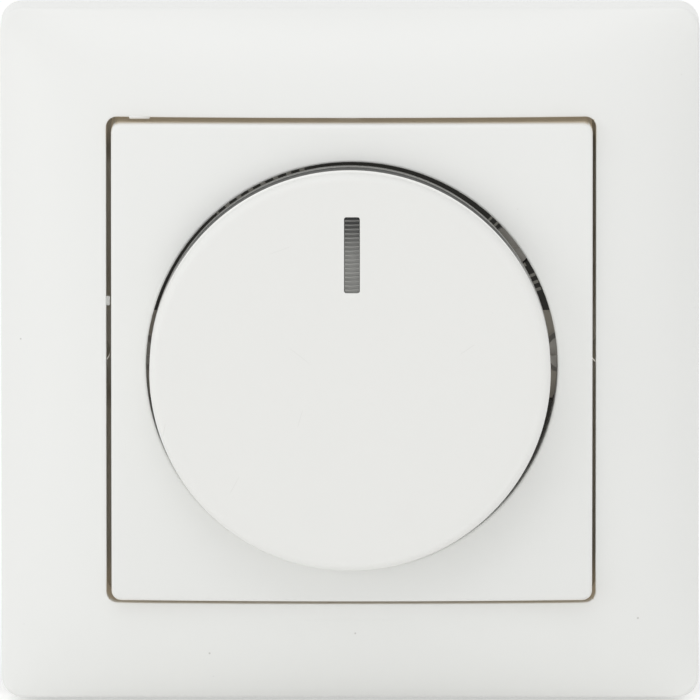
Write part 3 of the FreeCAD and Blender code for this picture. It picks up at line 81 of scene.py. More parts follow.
class DimmerFrameSizes(bpy.types.PropertyGroup):
    width: length("Width", "Outside width and height of the cover frame", 80.0)
    corner: length("Corner", "Radius of the frame's corners", 2.5)
    side: length("Side wall", "Height of the frame's rim above the wall", 6.0)
    rise: length("Rise", "Rise of the pillow face above its rim", 7.3)
    wall: length("Wall", "Thickness of the moulding", 1.9)
    aperture: length("Aperture", "Width of the square opening", 56.0)
    aperture_corner: length("Aperture corner", "Radius of the opening's corners", 1.2)
    edge: length("Edge round", "Rounding where the face meets the rim", 0.35)
    lip: length("Lip round", "Rounding of the opening's edge", 0.12)
    across: length("Opening's place", "How far the opening sits to the right", 0.12)
    drop: length("Opening's drop", "How far the opening sits below the frame's middle", 0.12)
    taller: length("Opening's height", "How much taller than wide the opening is", 0.16)
    lift: length("Lift", "How far the frame sits above the shaft's axis", 0.35)
    floor: length("Seat", "Level of the support plate's front", 1.2)
    notch: length("Screw notch", "Width of the openings over the wall screws", 8.4)
    notch_top: length("Screw notch top", "Level of the upper end of those openings", 4.8)


class DimmerPlateSizes(bpy.types.PropertyGroup):
    width: length("Width", "Outside width of the central plate", 55.0)
    corner: length("Corner", "Radius of the plate's corners", 1.1)
    top: length("Top", "Height of the crown's middle above the wall", 14.5)
    bow: length("Bow", "Radius of the slightly domed face", 330.0)
    wall: length("Wall", "Thickness of the moulding", 1.5)
    edge: length("Edge round", "Rounding of the outer edge", 0.4)
    shift: length("Shift", "How far the plate sits to the right", 0.21)
    lift: length("Lift", "How far the plate sits above the shaft's axis", 0.2)
    taller: length("Height", "How much taller than wide the plate is", 0.09)
    hole: length("Hole", "Radius of the knob's opening", 23.52)
    hole_edge: length("Hole edge round", "Rounding of the opening's edge", 0.3)
    collar: length("Collar end", "Level of the lower end of the opening's collar", 7.9)


class DimmerKnobSizes(bpy.types.PropertyGroup):
    radius: length("Radius", "Radius of the knob", 22.9)
    top: length("Top", "Height of the knob's face above the wall", 19.6)
    end: length("End", "Level of the knob's lower end", 11.4)
    end_edge: length("End round", "Rounding of the skirt's lower edge", 0.35)
    face: length("Face", "Thickness of the knob's face", 2.0)
    wall: length("Wall", "Thickness of the knob's skirt", 1.8)
    edge: length("Edge round", "Rounding of the face's edge", 0.9)
    hub: length("Hub", "Radius of the hub", 5.5)
    bore: length("Bore", "Radius of the hub's bore", 3.05)
    marker_width: length("Marker width", "Width of the marker's slot", 1.8)
    marker_length: length("Marker length", "Length of the marker's slot", 8.76)
    marker_place: length("Marker place", "Distance of the marker's middle from the axis", 13.65)
    marker_shift: length("Marker shift", "How far the marker sits to the right", 0.22)
    marker_corner: length("Marker corner", "Radius of the slot's corners", 0.25)
    marker_pitch: length("Rib pitch", "Distance from rib to rib on the marker", 0.5)


class DimmerFinishes(bpy.types.PropertyGroup):
    cover: colour("Cover", "Cream white of the frame and plate", 0.876, 0.880, 0.862)
    knob: colour("Knob", "Cream white of the knob", 0.858, 0.858, 0.836)
    black: colour("Black moulding", "Colour of the black mouldings", 0.022, 0.022, 0.023)
    print: colour("Marks", "Colour of the plain marks on the insert", 0.16, 0.16, 0.15)
    zinc: colour("Zinc", "Colour of the plated sheet steel", 0.50, 0.465, 0.40)
    brass: colour("Brass", "Colour of the turned brass", 0.66, 0.47, 0.20)
    smoke: colour("Smoke", "Colour of the marker's light pipe", 0.285, 0.285, 0.272)


# Small marks, by their places in millimetres across and up from the knob's axis


# Across, up and radius
FRAME_SPECKS = ((33.0, -29.9, 0.16), (0.6, -31.4, 0.14), (-16.1, -33.9, 0.15), (-37.7, 2.3, 0.13))
# Across, up, radius and blur
KNOB_SINKS = ((-3.9, -16.4, 3.4, 0.95), (6.3, -16.3, 3.0, 0.95))
# Across, up, run, angle and width
KNOB_SCRATCHES = (
    (-13.2, -12.9, 2.6, 62.0, 0.05),
    (-5.7, 2.0, 3.4, -38.0, 0.04),
    (13.4, 2.8, 2.2, 35.0, 0.05),
    (-8.0, 14.2, 3.0, 20.0, 0.04),
    (-5.7, -5.2, 2.4, 74.0, 0.05),
    (-21.2, -6.5, 1.8, 80.0, 0.05),
)
# Start and end angle, pitch, share of the pitch that is painted, inner and outer radius
INSERT_MARKS = (
    (103.6, 133.0, 4.1, 0.38, 21.4, 23.6),
    (39.5, 46.0, 2.3, 0.3, 21.6, 23.2),
    (27.0, 39.0, 12.0, 1.0, 22.0, 22.7),
    (19.0, 25.0, 2.2, 0.4, 22.0, 23.2),
)


# Looks of the small parts


# Colour, direction of the grain, roughness and painted glow in the ring round the knob
STEELS = {
    "claw_steel": ((0.40, 0.38, 0.33), (0.12, 1.0, 1.0), 0.34, 0.0),
    "screw_steel": ((0.52, 0.50, 0.46), (1.0, 0.2, 1.0), 0.30, 0.10),
    "spring_steel": ((0.33, 0.33, 0.34), (1.0, 1.0, 1.0), 0.30, 0.0),
}
# Colour, fleck, roughness and gloss
MOULDINGS = {
    "amber_laminate": ((0.13, 0.06, 0.022), (0.22, 0.12, 0.05), 0.42, 0.4),
    "ferrite": ((0.035, 0.035, 0.038), (0.09, 0.09, 0.095), 0.62, 0.3),
    "capacitor_case": ((0.62, 0.42, 0.045), (0.70, 0.52, 0.12), 0.38, 0.4),
    "capacitor_sleeve": ((0.010, 0.020, 0.085), (0.02, 0.04, 0.13), 0.25, 0.5),
    "resistor_body": ((0.36, 0.24, 0.10), (0.46, 0.33, 0.17), 0.45, 0.4),
    "grey_moulding": ((0.115, 0.12, 0.125), (0.16, 0.165, 0.17), 0.46, 0.4),
}
# Colour and the tint that its flow adds
GLASSES = {
    "fuse_glass": ((0.90, 0.94, 0.93), (0.84, 0.90, 0.88)),
    "lamp_glass": ((0.92, 0.72, 0.52), (0.88, 0.60, 0.38)),
}


# Mesh work


def choose(piece, *others):
    """Select just these objects, with the first of them active."""
    bpy.ops.object.select_all(action="DESELECT")
    for item in (piece, *others):
        item.select_set(True)
    bpy.context.view_layer.objects.active = piece


@contextmanager
def shaping(piece):
    """Edit mode on one piece, with nothing selected at first."""
    choose(piece)
    bpy.ops.object.mode_set(mode="EDIT")
    bpy.ops.mesh.select_all(action="DESELECT")
    yield piece
    bpy.ops.object.mode_set(mode="OBJECT")


def middle(part):
    corners = [part] if isinstance(part, bmesh.types.BMVert) else part.verts
    return sum((corner.co for corner in corners), Vector()) / len(corners)


def pick(piece, kind, test):
    """Select just the vertices, edges or faces of the piece being shaped that pass a test."""
    modes = {"verts": "VERT", "edges": "EDGE", "faces": "FACE"}
    bpy.ops.mesh.select_mode(type=modes[kind])
    bpy.ops.mesh.select_all(action="DESELECT")
    mesh = bmesh.from_edit_mesh(piece.data)
    chosen = [part for part in getattr(mesh, kind) if test(part)]
    if not chosen:
        raise RuntimeError(f"{piece.name}: no {kind} to shape there")
    for part in chosen:
        part.select_set(True)
    bmesh.update_edit_mesh(piece.data)


def near(one, other, slack=0.02 * MM):
    return abs(one - other) < slack


def added(name):
    """The primitive that was just added, under its name."""
    piece = bpy.context.object
    piece.name = name
    piece.data.name = name
    return piece


def finish_modifier(piece, kind, **settings):
    choose(piece)
    modifier = piece.modifiers.new(kind.title(), kind)
    for key, value in settings.items():
        setattr(modifier, key, value)
    bpy.ops.object.modifier_apply(modifier=modifier.name)


def join(piece, *others):
    choose(piece, *others)
    bpy.ops.object.join()
    return piece


def settle(piece, across=0.0, up=0.0, smooth=38.0):
    """Turn a piece drawn flat on its back to face the room, and keep its place in its mesh."""
    choose(piece)
    piece.rotation_euler = (math.pi / 2, 0.0, 0.0)
    piece.location = (across, 0.0, up)
    bpy.ops.object.transform_apply(location=True, rotation=True, scale=True)
    bpy.ops.object.shade_smooth_by_angle(angle=math.radians(smooth))


def rounded_loop(name, half, radius):
    """A square loop of edges with round corners, evenly divided along its sides."""
    bpy.ops.mesh.primitive_plane_add(size=2 * half)
    loop = added(name)
    with shaping(loop):
        bpy.ops.mesh.select_all(action="SELECT")
        bpy.ops.mesh.bevel(offset=radius, segments=CORNER_STEPS, affect="VERTICES")
        bpy.ops.mesh.select_all(action="SELECT")
        bpy.ops.mesh.delete(type="ONLY_FACE")
        pick(loop, "edges", lambda edge: edge.calc_length() > half)
        bpy.ops.mesh.subdivide(number_cuts=SIDE_STEPS - 1)
    return loop


def bridged(name, outer, inner, cuts):
    """A sheet between two loops that have as many points as each other."""
    sheet = join(outer, inner)
    sheet.name = sheet.data.name = name
    with shaping(sheet):
        bpy.ops.mesh.select_all(action="SELECT")
        bpy.ops.mesh.bridge_edge_loops(number_cuts=cuts, interpolation="LINEAR")
        face_front(sheet)
    return sheet


def face_front(sheet):
    """Turn all faces of a sheet the same way, its broad face to the front."""
    bpy.ops.mesh.select_all(action="SELECT")
    bpy.ops.mesh.normals_make_consistent(inside=False)
    mesh = bmesh.from_edit_mesh(sheet.data)
    mesh.normal_update()
    if sum(face.normal.z * face.calc_area() for face in mesh.faces) < 0:
        bpy.ops.mesh.flip_normals()


def crowned_form(half, low, high, fall, steps):
    """A square former, high in the middle, whose columns and rows are squeezed down in turn."""
    half = half * FORMER_SPARE
    bpy.ops.mesh.primitive_grid_add(x_subdivisions=steps, y_subdivisions=steps, size=2 * half,
                                    location=(0.0, 0.0, 0.0))
    form = added("crown_form")
    with shaping(form):
        bpy.ops.mesh.select_all(action="SELECT")
        bpy.ops.transform.translate(value=(0.0, 0.0, high))
        for axis in (0, 1):
            for step in range(steps + 1):
                place = half * (2 * step / steps - 1)
                pick(form, "verts", lambda vert: near(vert.co[axis], place))
                bpy.ops.transform.resize(value=(1.0, 1.0, fall(place)), center_override=(0.0, 0.0, low))
    finish_modifier(form, "SUBSURF", levels=2, render_levels=2)
    return form


def lay_on(piece, form):
    """Press a flat sheet onto a former, and take the former away."""
    finish_modifier(piece, "SHRINKWRAP", target=form, wrap_method="PROJECT", use_project_x=False,
                    use_project_y=False, use_project_z=True, use_positive_direction=True,
                    use_negative_direction=True)
    bpy.data.objects.remove(form)


def wall_down(piece, chosen, level):
    """Draw an open edge of a sheet straight back to a level."""
    pick(piece, "edges", lambda edge: edge.is_boundary and chosen(edge))
    bpy.ops.mesh.extrude_region()
    bpy.ops.transform.resize(value=(1.0, 1.0, 0.0), center_override=(0.0, 0.0, level))


def soften(piece, chosen, radius, steps):
    """Round the edges where a face meets a wall."""
    pick(piece, "edges", lambda edge: len(edge.link_faces) == 2 and chosen(edge))
    bpy.ops.mesh.bevel(offset=radius, segments=steps, affect="EDGES")


def notch_sides(piece, width, reach, top):
    """Open all four walls low in their middle, where the heads of the wall screws lie."""
    for across, along in ((width, 2 * reach), (2 * reach, width)):
        bpy.ops.mesh.primitive_cube_add(size=1.0, location=(0.0, 0.0, 0.0),
                                        scale=(across, along, 2 * top))
        cutter = added("notch_cutter")
        bpy.ops.object.transform_apply(location=True, rotation=False, scale=True)
        finish_modifier(piece, "BOOLEAN", operation="DIFFERENCE", object=cutter, solver="EXACT")
        bpy.data.objects.remove(cutter)


# Shader work


class Number:
    """A varying value in a material, on which Python's operators add Math nodes."""

    def __init__(self, wiring, socket):
        self.wiring = wiring
        self.socket = socket

    def reckon(self, operation, one, other):
        return self.wiring.number("ShaderNodeMath", {"operation": operation}, {0: one, 1: other})

    def __add__(self, other):
        return self.reckon("ADD", self, other)

    def __sub__(self, other):
        return self.reckon("SUBTRACT", self, other)

    def __rsub__(self, other):
        return self.reckon("SUBTRACT", other, self)

    def __neg__(self):
        return 0.0 - self

    def __mul__(self, other):
        return self.reckon("MULTIPLY", self, other)

    def __truediv__(self, other):
        return self.reckon("DIVIDE", self, other)

    def __lt__(self, other):
        return self.reckon("LESS_THAN", self, other)

    __radd__ = __add__

    def above(self, floor):
        return self.reckon("MAXIMUM", self, floor)

    def below(self, ceiling):
        return self.reckon("MINIMUM", self, ceiling)

    def power(self, exponent):
        return self.reckon("POWER", self, exponent)

    def size(self):
        return self.reckon("ABSOLUTE", self, 0.0)

    def wrapped(self, length):
        """The remainder, from 0 up to a length."""
        return self.reckon("FLOORED_MODULO", self, length)

    def turned_from(self, across):
        """The angle of the point that lies this far up and so far across, in radians."""
        return self.reckon("ARCTAN2", self, across)


class Wiring:
    """The node tree of a material or a world, built node by node."""

    def __init__(self, owner):
        owner.use_nodes = True
        self.tree = owner.node_tree
        self.tree.nodes.clear()

    def node(self, kind, settings=None, values=None):
        """Any node: its settings first, then the values or links of its sockets."""
        node = self.tree.nodes.new(kind)
        for key, value in (settings or {}).items():
            setattr(node, key, value)
        for key, value in (values or {}).items():
            self.feed(node.inputs[key], value)
        return node

    def feed(self, socket, value):
        if isinstance(value, Number):
            value = value.socket
        if isinstance(value, bpy.types.NodeSocket):
            self.tree.links.new(value, socket)
        elif socket.type == "RGBA" and len(value) == 3:
            socket.default_value = (*value, 1.0)
        else:
            socket.default_value = value

    def number(self, kind, settings=None, values=None, output=0):
        return Number(self, self.node(kind, settings, values).outputs[output])


class Paint(Wiring):
    """One procedural material, which varies with the place on the object."""

    def __init__(self, name):
        self.material = bpy.data.materials.new(FINISH + name)
        super().__init__(self.material)
        self.place = self.node("ShaderNodeTexCoord").outputs["Object"]
        split = self.node("ShaderNodeSeparateXYZ", {}, {0: self.place})
        self.x, self.y, self.z = (Number(self, split.outputs[axis]) for axis in range(3))

    def away(self, x=0.0, z=0.0):
        """The distance from a point on the front, or else from the knob's axis."""
        across = self.x - x if x else self.x
        up = self.z - z if z else self.z
        return (across.power(2.0) + up.power(2.0)).power(0.5)

    def noise(self, scale, detail=2.0, rough=0.5, stretch=(1.0, 1.0, 1.0)):
        """A number about 0.5 that wanders over the surface, scale times a metre."""
        spread = self.node("ShaderNodeMapping", {}, {"Vector": self.place, "Scale": stretch})
        return self.number("ShaderNodeTexNoise", {}, {
            "Vector": spread.outputs[0], "Scale": scale, "Detail": detail, "Roughness": rough})

    def cells(self, scale):
        """The distance from the nearest of many scattered points, in shares of their spacing."""
        return self.number("ShaderNodeTexVoronoi", {}, {"Vector": self.place, "Scale": scale}, "Distance")

    def grains(self, scale, patches, size):
        """1 on small grains, which lie together in patches."""
        dots = 1.0 - self.step(self.cells(scale), *size)
        return dots * self.step(self.noise(patches, 1.0), 0.60, 0.66)

    def step(self, value, low, high):
        """0 up to low and 1 from high, smooth between them."""
        return self.number("ShaderNodeMapRange", {"interpolation_type": "SMOOTHSTEP"}, {
            "Value": value, "From Min": low, "From Max": high})

    def spot(self, x, z, radius, blur=0.5):
        """1 in a small round spot on the front, by its place in millimetres."""
        return 1.0 - self.step(self.away(x * MM, z * MM), radius * MM * (1 - blur), radius * MM)

    def scratch(self, x, z, run, angle, width):
        """1 on a thin straight line on the front, by its middle, length and angle."""
        cosine, sine = math.cos(math.radians(angle)), math.sin(math.radians(angle))
        across, up = self.x - x * MM, self.z - z * MM
        along = (across * cosine + up * sine).size()
        beside = (up * cosine - across * sine).size()
        line = 1.0 - self.step(beside, width * MM * 0.3, width * MM)
        return line * (1.0 - self.step(along, run * MM * 0.3, run * MM * 0.5))

    def blend(self, share, one, other):
        """A colour between two colours."""
        mix = self.node("ShaderNodeMix", {"data_type": "RGBA"}, {0: share, 6: one, 7: other})
        return mix.outputs[2]

    def tint(self, colour, share):
        """A colour made lighter or darker by a number about 1."""
        grey = self.node("ShaderNodeCombineColor", {}, {0: share, 1: share, 2: share}).outputs[0]
        mix = self.node("ShaderNodeMix", {"data_type": "RGBA", "blend_type": "MULTIPLY"},
                        {0: 1.0, 6: colour, 7: grey})
        return mix.outputs[2]

    def bump(self, height, depth, strength=1.0):
        """A normal from a height that runs from 0 to 1 over a depth in millimetres."""
        values = {"Height": height, "Distance": depth * MM, "Strength": strength}
        return self.node("ShaderNodeBump", {}, values).outputs[0]

    def surface(self, **values):
        """The shader itself, from the names of its sockets with spaces for underscores."""
        names = {key.replace("_", " "): value for key, value in values.items()}
        shader = self.node("ShaderNodeBsdfPrincipled", {}, names)
        self.node("ShaderNodeOutputMaterial", {}, {"Surface": shader.outputs[0]})
        return self.material


def rgb(colour):
    return tuple(colour[:3])


def together(marks):
    """The sum of several marks."""
    return reduce(Number.__add__, marks)


def white_cover(colours):
    """Glossy cream thermoset with a faint flow, an orange peel skin and a little dust.

    The plate is painted a little darker downwards: painted shade. The walls of the gap round it glow with
    painted light, which stands in for light that the real plastic lets through, and the gap's ends are
    painted a tan shade.
    """
    paint = Paint("white_cover")
    # The tan is painted shade for the gap's ends and the warm light is the gap's painted glow; the grey is
    # real dust
    dust_grey, gap_shade_tan, gap_light = (0.42, 0.41, 0.38), (0.46, 0.39, 0.29), (1.0, 0.88, 0.68)
    # Strengths of the painted glow in the gap round the plate
    end_glow, side_glow, right_loss = 0.095, 0.020, 0.004
    middle_x, middle_z = 0.16 * MM, 0.24 * MM
    # Each pair is where a change starts and where it is complete
    plate_half = 27.0 * MM
    plate_end, opening_start = (27.3 * MM, 27.6 * MM), (27.72 * MM, 27.8 * MM)
    gap_start, gap_end = (27.2 * MM, 27.4 * MM), (28.3 * MM, 28.4 * MM)
    gap_levels, frame_taller = (10.3 * MM, 12.9 * MM), 2.8 * MM
    gap_ends = (24.0 * MM, 27.0 * MM)
    flow = paint.noise(38.0, 3.0, 0.6)
    skin = paint.noise(900.0, 2.0, 0.5)
    out = (paint.x - middle_x).size().above((paint.z - middle_z).size())

    # Painted shade: the plate's colour is a little darker towards the bottom
    lower = (-(paint.z / plate_half)).above(0.0) * (1.0 - paint.step(out, *plate_end))
    shade = paint.tint(rgb(colours.cover), 0.994 + flow * 0.012 - lower * 0.030)
    specks = together(paint.spot(*place) for place in FRAME_SPECKS)
    specks = specks + paint.grains(420.0, 95.0, (0.02, 0.05)) * 0.35
    speckled = paint.blend((specks * 0.5).below(1.0), shade, dust_grey)
    rough = 0.30 + flow * 0.06 + paint.noise(260.0, 2.0) * 0.05
    normal = paint.bump(skin * 0.7 + paint.noise(3200.0, 1.0) * 0.3, 0.010, 0.35)

    # Painted light: the gap's walls glow, most at the top and bottom ends and a little less to the right
    level = paint.step(out, *opening_start) * frame_taller - paint.y
    gap = paint.step(out, *gap_start) * (1.0 - paint.step(out, *gap_end))
    gap = gap * (1.0 - paint.step(level, *gap_levels))
    ends = paint.step(paint.z, *gap_ends) + paint.step(-paint.z, *gap_ends)
    right = paint.step(paint.x, 0.0, plate_half)
    glow = gap * (ends * end_glow + (1.0 - ends) * (side_glow - right * right_loss))
    # Painted shade: the gap's ends are tinted tan
    base = paint.blend(gap * ends * 0.9, speckled, gap_shade_tan)
    return paint.surface(Base_Color=base, Roughness=rough, Normal=normal, IOR=1.5, Specular_IOR_Level=0.45,
                         Emission_Color=paint.tint(gap_light, glow), Emission_Strength=1.0)


def white_knob(colours):
    """Satin cream plastic with a fine spark-eroded grain and hairline scratches.

    The skirt's upper half, where it dips into the plate, has a band of painted shade, with a lip of
    painted light below it and a painted glow above it.
    """
    paint = Paint("white_knob")
    worn_grey, ring_light = (0.47, 0.46, 0.43), (1.0, 1.0, 0.97)
    # Depth of the painted shade band and strength of the skirt's painted glow
    painted_shade_depth, skirt_painted_glow = 0.84, 0.2
    # Each pair is where a change starts and where it is complete
    skirt_start, brow = (22.2 * MM, 22.5 * MM), (20.6 * MM, 22.4 * MM)
    upper_half = (6.0 * MM, 16.0 * MM)
    lip_top, band_top, glow_top = (13.0 * MM, 13.4 * MM), (15.6 * MM, 16.0 * MM), (16.0 * MM, 18.5 * MM)
    grain = paint.noise(5200.0, 2.0, 0.6)
    flow = paint.noise(45.0, 3.0, 0.6)
    scratches = together(paint.scratch(*place) for place in KNOB_SCRATCHES)
    sinks = together(paint.spot(*place) for place in KNOB_SINKS)
    specks = paint.grains(300.0, 70.0, (0.015, 0.04))
    away = paint.away()
    level = -paint.y

    skirt = paint.step(away, *skirt_start)
    upper = paint.step(paint.z, *upper_half)
    # Painted shade: a dark band round the upper skirt, taken off again on its lowest part, the lip
    band = skirt * upper * (1.0 - paint.step(level, *band_top))
    lip = band * (1.0 - paint.step(level, *lip_top))
    light = 0.995 + flow * 0.010 - sinks * 0.006 - band * painted_shade_depth + lip * painted_shade_depth
    shade = paint.tint(rgb(colours.knob), light)
    base = paint.blend((scratches * 0.16 + specks * 0.3).below(1.0), shade, worn_grey)
    rough = 0.46 + grain * 0.08 - scratches * 0.10
    height = grain * 0.35 + flow * 0.2 - scratches * 0.5 - sinks * 0.5 - paint.step(away, *brow) * 9.0
    normal = paint.bump(height, 0.014, 0.4)
    # Painted light: the skirt glows above the band, and the lip a little
    glow = (skirt * upper - band) * (1.0 - paint.step(level, *glow_top)) + lip * 0.4
    return paint.surface(Base_Color=base, Roughness=rough, Normal=normal, IOR=1.5, Specular_IOR_Level=0.4,
                         Emission_Color=paint.tint(ring_light, glow * skirt_painted_glow), Emission_Strength=1.0)


def smoky_lens(colours):
    """Ribbed grey light pipe: painted shade darkens its outer end, and its ribs have painted highlights."""
    paint = Paint("smoky_lens")
    painted_shade_span = (12.6 * MM, 18.6 * MM)
    pitch, first_line = 0.5 * MM, 0.4 * MM
    # Painted shade: the pipe gets darker towards its outer end
    depth = paint.step(paint.z, *painted_shade_span)
    cloud = paint.noise(700.0, 3.0)
    # Painted highlight: a light line along each rib, standing out most where the painted shade is deep
    line = ((paint.z + first_line).wrapped(pitch) / (pitch / 2) - 1.0).size()
    line = paint.step(line, 0.35, 0.9) * (0.6 + paint.noise(1300.0, 1.0, 0.5, (0.1, 1.0, 1.0)) * 0.8)
    share = 0.9 + line * 0.2 - depth * (0.88 - line * 0.42) + cloud * 0.06
    base = paint.tint(rgb(colours.smoke), share)
    normal = paint.bump(paint.noise(2500.0, 2.0), 0.004, 0.3)
    return paint.surface(Base_Color=base, Roughness=0.34 + cloud * 0.10, Normal=normal, IOR=1.5,
                         Specular_IOR_Level=0.4)


def black_moulding(colours):
    """Black plastic with a matt mould skin, plain painted marks, a steel coloured strip and painted light.
    """
    paint = Paint("black_moulding")
    steel_grey, ring_light = (0.42, 0.39, 0.33), (0.018, 0.0175, 0.0155)
    front_level, front_radius, strip_half = 4.9 * MM, 26.0 * MM, 5.0 * MM
    skin = paint.noise(2600.0, 3.0, 0.6)
    cloud = paint.noise(60.0, 3.0)
    away = paint.away()
    angle = paint.z.turned_from(paint.x) * (180 / math.pi)

    def strokes(start, end, pitch, share, inner, outer):
        """1 on bars that point to the axis, between two angles and two radii."""
        turn = (angle - start).wrapped(360.0)
        inside = (turn < end - start) * (turn.wrapped(pitch) < pitch * share)
        return inside * (away < outer * MM) * (1.0 - (away < inner * MM))

    front = paint.y < -front_level
    marks = together(strokes(*mark) for mark in INSERT_MARKS)
    share = (marks * front * (0.75 + skin * 0.4)).below(1.0)
    shade = paint.tint(rgb(colours.black), 0.85 + cloud * 0.5)
    base = paint.blend(share, shade, rgb(colours.print))
    rough = 0.50 + skin * 0.16 + share * 0.1
    normal = paint.bump(skin, 0.02, 0.5)
    # Painted light: the front of the insert glows inside the ring round the knob, most on the marks and
    # strip
    lit = front * (away < front_radius) * (0.9 + cloud * 0.3)
    strip = lit * (paint.z.size() < strip_half)
    base = paint.blend(strip.below(1.0), base, steel_grey)
    glow = paint.tint(ring_light, lit * (1.0 + share * 5.0 + strip * 4.5))
    return paint.surface(Base_Color=base, Roughness=rough, Normal=normal, Specular_IOR_Level=0.4,
                         Emission_Color=glow, Emission_Strength=1.0)


def plated_steel(name, colour, grain, rough, glow):
    """Rolled and plated sheet steel: a fine grain, cloudy plating and painted light, a glow in the ring."""
    paint = Paint(name)
    front_level, front_radius = 1.0 * MM, 26.0 * MM
    # Painted light: the steel glows where it shows in the ring round the knob
    lit = (paint.away() < front_radius) * (paint.y < -front_level) * glow
    rolled = paint.noise(900.0, 3.0, 0.6, grain)
    cloud = paint.noise(55.0, 4.0, 0.6)
    bloom = paint.step(paint.noise(160.0, 3.0), 0.52, 0.72)
    shade = paint.tint(colour, 0.78 + cloud * 0.44)
    dull = tuple(part * 0.72 for part in colour)
    base = paint.blend(bloom * 0.45, shade, dull)
    normal = paint.bump(rolled, 0.006, 0.5)
    return paint.surface(Base_Color=base, Metallic=1.0 - bloom * 0.15,
                         Roughness=rough + rolled * 0.12 + bloom * 0.12, Normal=normal,
                         Emission_Color=paint.tint(colour, lit), Emission_Strength=1.0)


def turned_brass(colours):
    """Turned brass with rings from the tool and a warm tarnish."""
    paint = Paint("turned_brass")
    tarnished = (0.33, 0.20, 0.085)
    tarnish = paint.step(paint.noise(140.0, 4.0, 0.6), 0.42, 0.75)
    tool = paint.noise(1500.0, 2.0, 0.5, (0.15, 1.0, 0.15))
    base = paint.blend(tarnish * 0.6, rgb(colours.brass), tarnished)
    return paint.surface(Base_Color=base, Metallic=1.0 - tarnish * 0.1,
                         Roughness=0.26 + tarnish * 0.2 + tool * 0.08, Normal=paint.bump(tool, 0.006, 0.5))


def moulded(name, colour, fleck, rough, gloss):
    """Moulded or lacquered material: a mottled colour under a fine skin."""
    paint = Paint(name)
    mottle = paint.noise(240.0, 4.0, 0.6)
    skin = paint.noise(2600.0, 2.0, 0.6)
    shade = paint.tint(colour, 0.90 + mottle * 0.2)
    base = paint.blend(paint.step(skin, 0.55, 0.75) * 0.35, shade, fleck)
    return paint.surface(Base_Color=base, Roughness=rough + mottle * 0.1,
                         Normal=paint.bump(skin, 0.012, 0.5), Specular_IOR_Level=gloss)


def board_laminate():
    """Paper laminate with fibres in a cloudy resin."""
    paint = Paint("board_laminate")
    resin, fibre = (0.30, 0.21, 0.085), (0.42, 0.33, 0.17)
    fibres = paint.noise(1300.0, 4.0, 0.7, (1.0, 1.0, 0.25))
    cloud = paint.noise(90.0, 3.0)
    shade = paint.tint(resin, 0.8 + cloud * 0.4)
    base = paint.blend(paint.step(fibres, 0.5, 0.8) * 0.5, shade, fibre)
    return paint.surface(Base_Color=base, Roughness=0.42 + fibres * 0.15,
                         Normal=paint.bump(fibres, 0.01, 0.5))


def copper_wire():
    """Turns of enamelled wire round the choke's ring, with painted shade in the grooves between them."""
    paint = Paint("copper_wire")
    enamel, groove = (0.42, 0.13, 0.045), (0.09, 0.025, 0.01)
    ring_x, ring_z, turns = -6.0 * MM, -9.0 * MM, 44
    turn_width = 2 * math.pi / turns
    angle = (paint.z - ring_z).turned_from(paint.x - ring_x)
    turn = angle.wrapped(turn_width) / turn_width
    round_wire = 1.0 - (turn * 2.0 - 1.0).power(2.0)
    cloud = paint.noise(300.0, 3.0)
    shade = paint.tint(enamel, 0.75 + cloud * 0.5)
    # Painted shade: the colour darkens into the grooves between the turns
    base = paint.blend(round_wire.power(0.5), groove, shade)
    return paint.surface(Base_Color=base, Metallic=0.6 + cloud * 0.2, Roughness=0.28 + cloud * 0.1,
                         Normal=paint.bump(round_wire.power(0.5), 0.3, 0.8))


def clear_glass(name, colour, warmth):
    """Thin glass with a faint flow in it."""
    paint = Paint(name)
    flow = paint.noise(420.0, 2.0)
    base = paint.blend(flow * 0.3, colour, warmth)
    return paint.surface(Base_Color=base, Roughness=0.04 + flow * 0.06, IOR=1.5, Transmission_Weight=0.85,
                         Normal=paint.bump(flow, 0.01, 0.3))


def wear_finish(piece, material):
    piece.data.materials.clear()
    piece.data.materials.append(material)


def made(name, maker, *arguments):
    """A material by its name, made the first time that it is asked for."""
    return bpy.data.materials.get(FINISH + name) or maker(*arguments)


# The covers


